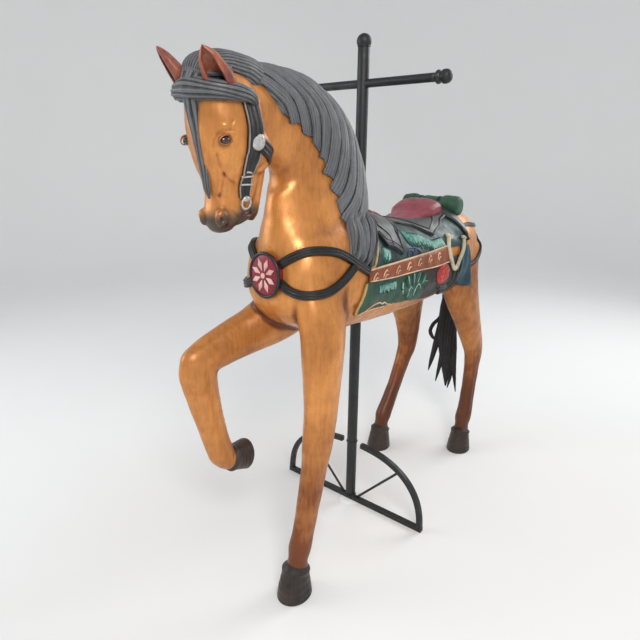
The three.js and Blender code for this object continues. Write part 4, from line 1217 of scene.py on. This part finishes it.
def medallionRim():
    # round bead carried round the oval, with small notches along it
    a = np.linspace(0, 2 * np.pi, 110, endpoint=False)[:, None]
    b = np.linspace(0, 2 * np.pi, 16, endpoint=False)[None]
    w = 5.5 * np.cos(b) + 0.5 * np.sin(a * 40)
    return ringTube(np.stack([(58 + w) * np.cos(a), -482 + 6 * np.sin(b) + 0 * a,
                              1041 + (66 + w) * np.sin(a)], -1) * mm)


def petal(turn, inner=11, outer=49, half=8.5):
    # long diamond with a ridge down its middle
    u = np.linspace(0, 1, 17)[:, None]
    b = np.linspace(0, 2 * np.pi, 12, endpoint=False)[None]
    width = half * np.maximum(1 - np.abs(u - 0.55) / np.where(u < 0.55, 0.55, 0.45), 0.03)
    x, w = inner + (outer - inner) * u + 0 * b, width * np.cos(b)
    y = -488.5 - 4.5 * np.sin(b) * width / half
    c, s = math.cos(turn), math.sin(turn)
    return tube(np.stack([x * c - w * s, y, 1041 + 1.12 * (x * s + w * c)], -1) * mm)


medallion = newMesh("medallion", medallionDisc())
rimRing = newMesh("medallion_rim", medallionRim())
petals = newMesh("medallion_petals",
                 gather([petal((2 * k + 1) * math.pi / medallionLook["petals"])
                         for k in range(medallionLook["petals"])]
                                            + [egg((0, -490, 1041), (8, 5, 9), 0, 20)]))
cheek = [(86, -618, 1536), (85, -612, 1512), (88, -604, 1478), (86, -597, 1445), (82, -594, 1415),
         (77, -593, 1390),
         (70, -599, 1360), (64, -603, 1334), (59, -606, 1307), (54, -604, 1278)]
cheekHalf = [23, 24, 25, 27, 29, 26, 22, 20, 19, 17]
bridle = newMesh("bridle", bothSides(lambda s: gather([
    strapOn(headTree, cheek, cheekHalf, 4.5, 2.5, 0.8, s, 90, 4),
    strapOn(headTree,
            [(80, -582, 1424), (72, -556, 1404), (64, -532, 1388), (50, -506, 1376), (24, -492, 1368)],
            [14, 20, 20, 20, 18], 4, 1.5, 0.8, s, 60, 4)])))


def cheekEdge(offset, side):
    # raised pale edge along the cheek strap, its half width away from the middle
    line = smoothLine(np.asarray(cheek, float) * (side, 1, 1), 90)
    place, normal = onTree(headTree, line, 6.5)
    for _ in range(4):
        place[1:-1] = (place[:-2] + place[1:-1] * 2 + place[2:]) / 4
        normal[1:-1] = unit(normal[:-2] + normal[1:-1] * 2 + normal[2:])
    width = np.interp(np.linspace(0, 1, 90), np.linspace(0, 1, len(cheekHalf)), cheekHalf)
    across = unit(np.cross(normal, unit(np.gradient(place, axis=0))))
    return strap(place + across * (width * offset)[:, None] * mm, normal, 1.3, 1.4, 0.4, 9)


paleEdges = newMesh("bridle_edges", bothSides(lambda s: gather([cheekEdge(0.94, s), cheekEdge(-0.94, s)])))


discLook = {"radius": 24, "dome": 6, "place": (92, -586, 1419)}


def silverDisc(side):
    # shallow dome with hammered dents, a product of sines over radius and turn
    r = np.linspace(0.02, 1, 20)[:, None]
    a = np.linspace(0, 2 * np.pi, 72, endpoint=False)[None]
    dent = 0.5 * np.sin(r * 13 + 2 * np.sin(a * 5)) * np.sin(a * 7 + r * 6)
    size, dome = discLook["radius"], discLook["dome"]
    grid = np.stack([dome * np.sqrt(1 - 0.98 * r**2) + dent, -size * r * np.cos(a), size * r * np.sin(a)], -1)
    base = np.stack([-dome + 0 * a, -size * np.cos(a), size * np.sin(a)], -1)
    return tube((np.concatenate([grid, base], 0) * (side, 1, 1) + np.array(discLook["place"])
                 * (side, 1, 1)) * mm)


def loop(centre, radius, thick, side, lean=0.2):
    # ring of round wire in the plane of Y and Z, leaning out by a share of its height
    a = np.linspace(0, 2 * np.pi, 60, endpoint=False)[:, None]
    b = np.linspace(0, 2 * np.pi, 12, endpoint=False)[None]
    r = radius + thick * np.cos(b)
    grid = np.stack([thick * np.sin(b) + lean * r * np.sin(a), r * np.cos(a), r * np.sin(a)], -1)
    return ringTube((grid * (side, 1, 1) + (centre[0] * side, centre[1], centre[2])) * mm)


def buckleBar(z, side, half):
    # flat silver bar across the cheek strap
    place, normal = onTree(headTree,
                           [(x * side, y, z) for x, y in ((66, -603 - half), (68, -603), (62, -603 + half))],
                           8)
    return strap(curveAt(place, np.linspace(0, 1, 14)), curveAt(normal, np.linspace(0, 1, 14)), 2.2, 2.6,
                 0.3, 9)


silver = newMesh("bridle_silver", bothSides(lambda s: gather([
    silverDisc(s), loop((56, -600, 1262), 15, 3.2, s), egg((58 * s, -602, 1274), (7, 12, 8), 0.1, 24),
    buckleBar(1331, s, 21), buckleBar(1310, s, 20), buckleBar(1344, s, 9)])))
print("harness strapped on")

rollEnds = {"across": (0, 1, 0), "stations": [
    (-134, 552, 1188, 8, 8), (-133.8, 552, 1188, 20, 20), (-133, 552, 1188, 29, 29),
                                              (-130, 552, 1188, 35, 35),
    (-124, 552, 1188, 39, 39), (-100, 549, 1191, 40, 40), (-72, 545, 1194, 38, 38),
    (-44, 541, 1194, 29, 29), (-20, 540, 1194, 33, 33)]}
rollStations = rollEnds["stations"] + [(0, 539, 1193, 34, 34)] + [(-x, y, z, w, d) for x, y, z, w,
                                                                  d in rollEnds["stations"][::-1]]


def bedrollSkin():
    # round roll along X with a lapped edge and folds that turn slowly round it
    u = np.linspace(0, 1, 240)[:, None]
    angle = np.linspace(0, 2 * np.pi, 96, endpoint=False)[None]
    folds = 0.9 * np.sin(angle * 3 + u
                         * 40) + 1.4 * np.exp(-(((angle - 1.2) % (2 * np.pi) - 0.3) / 0.12) ** 2)
    middle = smoothStep(np.minimum(u, 1 - u), 0.2, 0.3)
    return tube(limbPoint({"across": (0, 1, 0), "stations": rollStations}, u, angle, folds * middle * mm))


def tieRing(x):
    # flat oval section carried round the roll
    a = np.linspace(0, 2 * np.pi, 60, endpoint=False)[:, None]
    b = np.linspace(0, 2 * np.pi, 10, endpoint=False)[None]
    r = 30.5 + 3 * np.sin(b)
    return ringTube(np.stack([x + 7 * np.cos(b) + 0 * a, 541 + r * np.cos(a), 1194 + r * np.sin(a)], -1) * mm)


bedroll = newMesh("bedroll", bedrollSkin())
rollTies = newMesh("bedroll_ties", gather([tieRing(-44), tieRing(44)]))
tailLocks = [
    ([(0, 772, 1080, 18, 20), (0, 814, 1076, 22, 24), (-2, 846, 1030, 24, 26), (-6, 852, 900, 22, 24),
      (-10, 844, 760, 32, 30), (-10, 834, 640, 46, 38), (-4, 828, 500, 48, 38), (6, 824, 360, 28, 24),
      (12, 822, 240, 4, 4)], 20, 96),
    ([(-22, 838, 700, 14, 14), (-40, 834, 600, 18, 18), (-58, 828, 480, 17, 16), (-80, 822, 360, 10, 10),
      (-92, 820, 300, 2, 2)], 9, 48),
    ([(16, 832, 620, 16, 16), (32, 828, 480, 18, 17), (50, 820, 350, 12, 12), (72, 816, 225, 2, 2)], 9, 48),
    ([(-14, 836, 560, 16, 16), (-20, 830, 430, 16, 14), (-34, 822, 320, 9, 8), (-46, 820, 250, 2, 2)], 8, 44),
    ([(10, 832, 560, 16, 16), (30, 826, 420, 14, 14), (34, 820, 300, 9, 8), (24, 818, 232, 2, 2)], 8, 44),
    ([(-24, 842, 800, 9, 9), (-42, 836, 720, 10, 10), (-34, 834, 660, 10, 10), (-52, 830, 600, 10, 10),
      (-86, 824, 556, 9, 9), (-96, 820, 516, 9, 9), (-74, 820, 486, 8, 8), (-50, 824, 500, 6, 6),
      (-44, 828, 528, 2, 2)], 6, 32)]
tailParts = [groovedLimb({"stations": s}, 190, sides, strands, 5, 0.35, 1.2) for s, strands,
             sides in tailLocks]
tail = newMesh("tail_hair", gather([p for p, _ in tailParts]))
setMask(tail, "ridge", np.concatenate([r for _, r in tailParts]))
print("tail combed")
bodyPlace = pointsOf(body) / mm
# shade mask for the gold paint: lower legs darker, in part their own darker paint and in part painted shade,
# and the rear under the belly darker as painted shade
lowerLeg = 1 - smoothStep(bodyPlace[:, 2] + 14 * np.sin(bodyPlace[:, 1] / 21), 100, 620)
behind = smoothStep(bodyPlace[:, 1], 250, 640) * (1 - smoothStep(bodyPlace[:, 2], 880, 1040))
setMask(body, "shade", 0.80 * lowerLeg + 0.42 * behind)


def goldMaterial(name, isHead):
    # gold-bronze paint over carved wood: orange-brown in the hollows as painted shade, and on the body down
    # the legs and under the rear through the shade mask
    material, n, shader = newMaterial(name, Metallic=0.35, Coat_Weight=0.12, Coat_Roughness=0.3)
    hollow = maskOf(n, "hollow")
    extra = maskOf(n, "shade") if not isHead else 0.0
    both = n.math("ADD", n.math("MULTIPLY", hollow, 0.85), extra, True)
    paint = paintNodes(n, rgb(218, 146, 76), rgb(124, 64, 22), both, 0.34, 0.18)
    colour = paint.outputs["Colour"]
    # where the hollow and shade masks add up high, darker brown still: painted shade
    deeper = n.ramp(both, 0.62, 1.0)
    colour = n.mix(n.math("MULTIPLY", deeper, 0.7), colour, rgb(70, 36, 18))
    if isHead:
        colour = n.mix(n.math("MULTIPLY", maskOf(n, "muzzle"), 0.92), colour, rgb(54, 50, 46))
        colour = n.mix(maskOf(n, "mouth"), colour, rgb(58, 14, 20))
    n.put(shader, "Base Color", colour)
    n.put(shader, "Roughness", n.math("ADD", paint.outputs["Rough"], 0.26))
    n.put(shader, "Normal", bumpOf(n, paint.outputs["Height"], 0.3, 0.0010))
    return material


def hairMaterial(name, ridgeColour, grooveColour, rough=0.40):
    # strands: pale along their ridges and near black in the grooves
    material, n, shader = newMaterial(name, Specular_IOR_Level=0.45)
    ridge = n.ramp(maskOf(n, "ridge"), 0.25, 1.0)
    paint = paintNodes(n, ridgeColour, grooveColour,
                       n.math("SUBTRACT", 0.75, n.math("MULTIPLY", ridge, 0.9), True), 0.2, 0.15)
    n.put(shader, "Base Color", paint.outputs["Colour"])
    n.put(shader, "Roughness", n.math("ADD", paint.outputs["Rough"], rough))
    n.put(shader, "Normal", bumpOf(n, paint.outputs["Height"], 0.3, 0.0008))
    return material


def twoTonePaint(name, front, rear, deep):
    # two colours parted by a mask on the piece, both worn towards a third
    material, n, shader = newMaterial(name)
    bright = n.mix(maskOf(n, "rear"), front, rear)
    paint = paintNodes(n, bright, deep, 0.0, 0.55, 0.3)
    n.put(shader, "Base Color", paint.outputs["Colour"])
    n.put(shader, "Roughness", n.math("ADD", paint.outputs["Rough"], 0.38))
    n.put(shader, "Normal", bumpOf(n, paint.outputs["Height"], 0.35, 0.0012))
    return material


def eyeMaterial():
    # dark brown with a clear coat
    material, n, shader = newMaterial("eye_glass", Coat_Weight=1.0, Coat_Roughness=0.04, Roughness=0.15)
    place = n.add("ShaderNodeTexCoord").outputs["Object"]
    n.put(shader, "Base Color",
          n.mix(n.ramp(n.noise(place, 70.0, 2), 0.4, 0.7), rgb(46, 20, 16), rgb(20, 10, 10)))
    return material


paints = {
    "body": goldMaterial("gold_paint_body", False), "head": goldMaterial("gold_paint_head", True),
    "mane": hairMaterial("mane_paint", rgb(112, 114, 118), rgb(24, 24, 28)),
    "tail": hairMaterial("tail_hair_black", rgb(44, 42, 44), rgb(10, 10, 12), 0.45),
    "ear": wornMaterial("ear_paint", rgb(176, 104, 78), rgb(84, 26, 30), 0.32, 0.55, 0.25, 1.6),
    "lid": wornMaterial("lid_paint", rgb(176, 108, 60), rgb(96, 50, 28), 0.34, 0.4, 0.2),
    "hoof": wornMaterial("hoof_paint", rgb(58, 44, 34), rgb(24, 18, 15), 0.36, 0.5, 0.4),
    "steel": wornMaterial("black_steel", rgb(30, 32, 34), rgb(17, 18, 19), 0.38, 0.4, 0.2),
    "seat": wornMaterial("burgundy_paint", rgb(150, 72, 82), rgb(88, 30, 40), 0.34, 0.4, 0.25),
    "skirt": wornMaterial("charcoal_satin", rgb(82, 86, 84), rgb(34, 38, 38), 0.32, 0.5, 0.25),
    "black": wornMaterial("black_leather", rgb(32, 30, 30), rgb(12, 11, 12), 0.30, 0.4, 0.3),
    "blanket": wornMaterial("midnight_teal", rgb(28, 66, 66), rgb(10, 18, 26), 0.36, 0.6, 0.3),
    "lower": twoTonePaint("forest_and_maroon", rgb(26, 74, 52), rgb(44, 14, 20), rgb(10, 22, 20)),
    "belt": wornMaterial("chestnut_belt", rgb(146, 74, 38), rgb(84, 34, 18), 0.34, 0.4, 0.35),
    "cream": wornMaterial("cream_paint", rgb(226, 190, 150), rgb(160, 112, 76), 0.36, 0.45, 0.3, 2.0),
    "bone": wornMaterial("bone_paint", rgb(206, 198, 170), rgb(120, 108, 84), 0.34, 0.45, 0.3, 2.0),
    "antique": wornMaterial("antique_edge", rgb(190, 160, 100), rgb(96, 70, 36), 0.36, 0.5, 0.3, 2.0),
    "red": wornMaterial("red_paint", rgb(176, 46, 34), rgb(92, 14, 18), 0.32, 0.5, 0.25, 1.6),
    "orange": wornMaterial("orange_paint", rgb(222, 96, 56), rgb(150, 46, 30), 0.36, 0.4, 0.2, 2.0),
    "teal": wornMaterial("teal_paint", rgb(22, 96, 86), rgb(8, 34, 38), 0.34, 0.5, 0.3, 1.6),
    "pale": wornMaterial("pale_teal_paint", rgb(178, 212, 200), rgb(50, 130, 118), 0.38, 0.6, 0.3, 3.0),
    "palm": wornMaterial("palm_green", rgb(26, 84, 66), rgb(8, 30, 26), 0.34, 0.5, 0.3, 1.6),
    "flap": wornMaterial("peacock_paint", rgb(16, 72, 88), rgb(6, 30, 44), 0.30, 0.5, 0.35),
    "swirl": wornMaterial("slate_blue_paint", rgb(74, 84, 130), rgb(26, 28, 52), 0.36, 0.4, 0.2, 2.0),
    "crimson": wornMaterial("crimson_paint", rgb(150, 22, 48), rgb(84, 8, 26), 0.30, 0.4, 0.2, 1.6),
    "petal": wornMaterial("petal_paint", rgb(228, 190, 180), rgb(176, 112, 112), 0.36, 0.4, 0.25, 2.0),
    "silver": wornMaterial("silver_leaf", rgb(206, 206, 204), rgb(128, 126, 124), 0.30, 0.45, 0.2, 3.0,
                           Metallic=0.55),
    "grey": wornMaterial("pale_edge_paint", rgb(160, 150, 144), rgb(92, 84, 80), 0.36, 0.4, 0.2, 2.0),
    "roll": wornMaterial("bedroll_green", rgb(54, 98, 74), rgb(24, 50, 38), 0.40, 0.5, 0.35),
}
for piece, paint in [
        (head, "head"), (forelock, "mane"), (mane, "mane"), (ears, "ear"), (eyes, None), (lids, "lid"),
                     (hooves, "hoof"),
        (seat, "seat"), (skirt, "skirt"), (skirtBorder, "black"), (blanket, "blanket"), (lowerCloth, "lower"),
        (belt, "belt"), (creamLines, "cream"), (frontEdge, "antique"), (horseshoe, "bone"), (redBoss, "red"),
        (bossStrokes, "orange"), (ropes, "black"), (flap, "flap"), (feathersDeep, "teal"),
                     (feathersPale, "pale"),
        (palmShape, "palm"), (palmLines, "pale"), (swirls, "swirl"), (bandPanel, "black"),
                     (blackStraps, "black"),
        (breeching, "black"), (medallion, "crimson"), (rimRing, "black"), (petals, "petal"),
                     (bridle, "black"),
        (paleEdges, "grey"), (silver, "silver"), (bedroll, "roll"), (rollTies, "black")]:
    finishPiece(piece, eyeMaterial() if paint is None else paints[paint], "carving")
finishPiece(body, paints["body"], "carving", "horse")
finishPiece(tail, paints["tail"], "hair", "tail")
steel = paints["steel"]
finishPiece(pole, steel, "stand", "pole")
finishPiece(poleBall, steel, "stand", "pole_ball")
finishPiece(handleBar, steel, "stand", "handle_bar")
finishPiece(footBar, steel, "stand", "foot_bar")
finishPiece(welds, steel, "stand")
for name in ("left", "right"):
    finishPiece(knobs[name], steel, "stand", "handle_knob_" + name)
    finishPiece(arches[name], steel, "stand", "foot_arch_" + name)
    finishPiece(spokes[name], steel, "stand", "foot_spoke_" + name)
print("materials on")


def stageFloor():
    # floor turned about Z that curves up into a wall all round, so no edge shows from any side
    profile = [(0.05, 0), (2, 0), (4, 0), (5, 0.02), (5.6, 0.16), (6.1, 0.5), (6.4, 1.0), (6.5, 1.7),
               (6.5, 5.0)]
    line = curveAt([(r, h, 0) for r, h in profile], np.linspace(0, 1, 60))
    turn = np.linspace(0, 2 * np.pi, 97)[None]
    grid = np.stack([line[:, :1] * np.cos(turn), line[:, :1] * np.sin(turn), line[:, 1:2] + 0 * turn], -1)
    floor = newMesh("studio_floor", panel(grid[::-1]), closed=False)
    cap = newMesh("studio_floor_middle", tube(np.stack([
        0.06 * np.cos(turn[:, :-1]), 0.06 * np.sin(turn[:, :-1]), -0.002 + 0 * turn[:, :-1]], -1).repeat(2, 0)
        * np.array([[[1, 1, 1]], [[1, 1, 0.1]]])))
    material, n, shader = newMaterial("studio_floor_paint", Roughness=0.9)
    place = n.add("ShaderNodeTexCoord").outputs["Object"]
    n.put(shader, "Base Color", n.mix(n.noise(place, 3.0), (0.86, 0.86, 0.85, 1), (0.88, 0.88, 0.88, 1)))
    for piece in (floor, cap):
        piece.data.materials.append(material)


def softLight(name, place, aim, size, power, colour=(1, 1, 1)):
    # round soft lamp turned towards its aim
    data = bpy.data.lights.new(name, "AREA")
    data.shape = "DISK"
    data.size = size
    data.energy = power
    data.color = colour
    lamp = bpy.data.objects.new(name, data)
    lamp.location = place
    lamp.rotation_euler = (Vector(aim) - Vector(place)).to_track_quat("-Z", "Y").to_euler()
    scene.collection.objects.link(lamp)


cameraPlace = {"place": (1.1074, -1.5863, 1.3802), "turn": 38.95, "down": 17.07, "roll": 0.557, "lens": 29.8}


def makeCamera():
    # turn from the heading, then down, then a slight roll
    data = bpy.data.cameras.new("camera")
    data.lens = cameraPlace["lens"]
    data.sensor_width = 36
    camera = bpy.data.objects.new("camera", data)
    turn, down, roll = (math.radians(cameraPlace[k]) for k in ("turn", "down", "roll"))
    ahead = Vector((-math.sin(turn) * math.cos(down), math.cos(turn) * math.cos(down), -math.sin(down)))
    level = Vector((math.cos(turn), math.sin(turn), 0))
    upward = level.cross(ahead)
    across = level * math.cos(roll) + upward * math.sin(roll)
    above = upward * math.cos(roll) - level * math.sin(roll)
    matrix = camera.matrix_world.copy()
    for i, axis in enumerate((across, above, -ahead)):
        for j in range(3):
            matrix[j][i] = axis[j]
    for j in range(3):
        matrix[j][3] = cameraPlace["place"][j]
    camera.matrix_world = matrix
    scene.collection.objects.link(camera)
    scene.camera = camera


stageFloor()
studioLights = {
    "key_light": {"place": (2.6, -2.6, 3.4), "aim": (0, 0, 0.9), "size": 2.0, "power": 105,
                  "colour": (1.0, 0.97, 0.93)},
    "fill_light": {"place": (-2.8, -2.4, 2.0), "aim": (0, 0, 0.9), "size": 2.6, "power": 40,
                   "colour": (0.95, 0.98, 1.0)},
    "back_light": {"place": (1.2, 3.4, 3.0), "aim": (0, 0, 1.0), "size": 2.4, "power": 66,
                   "colour": (1, 1, 1)},
}
for name, look in studioLights.items():
    softLight(name, look["place"], look["aim"], look["size"], look["power"], look["colour"])
world = bpy.data.worlds.new("studio_air")
world.use_nodes = True
world.node_tree.nodes["Background"].inputs["Color"].default_value = (0.9, 0.93, 0.97, 1)
world.node_tree.nodes["Background"].inputs["Strength"].default_value = 0.52
scene.world = world
scene.view_settings.view_transform = "Standard"
makeCamera()
print("stage ready")
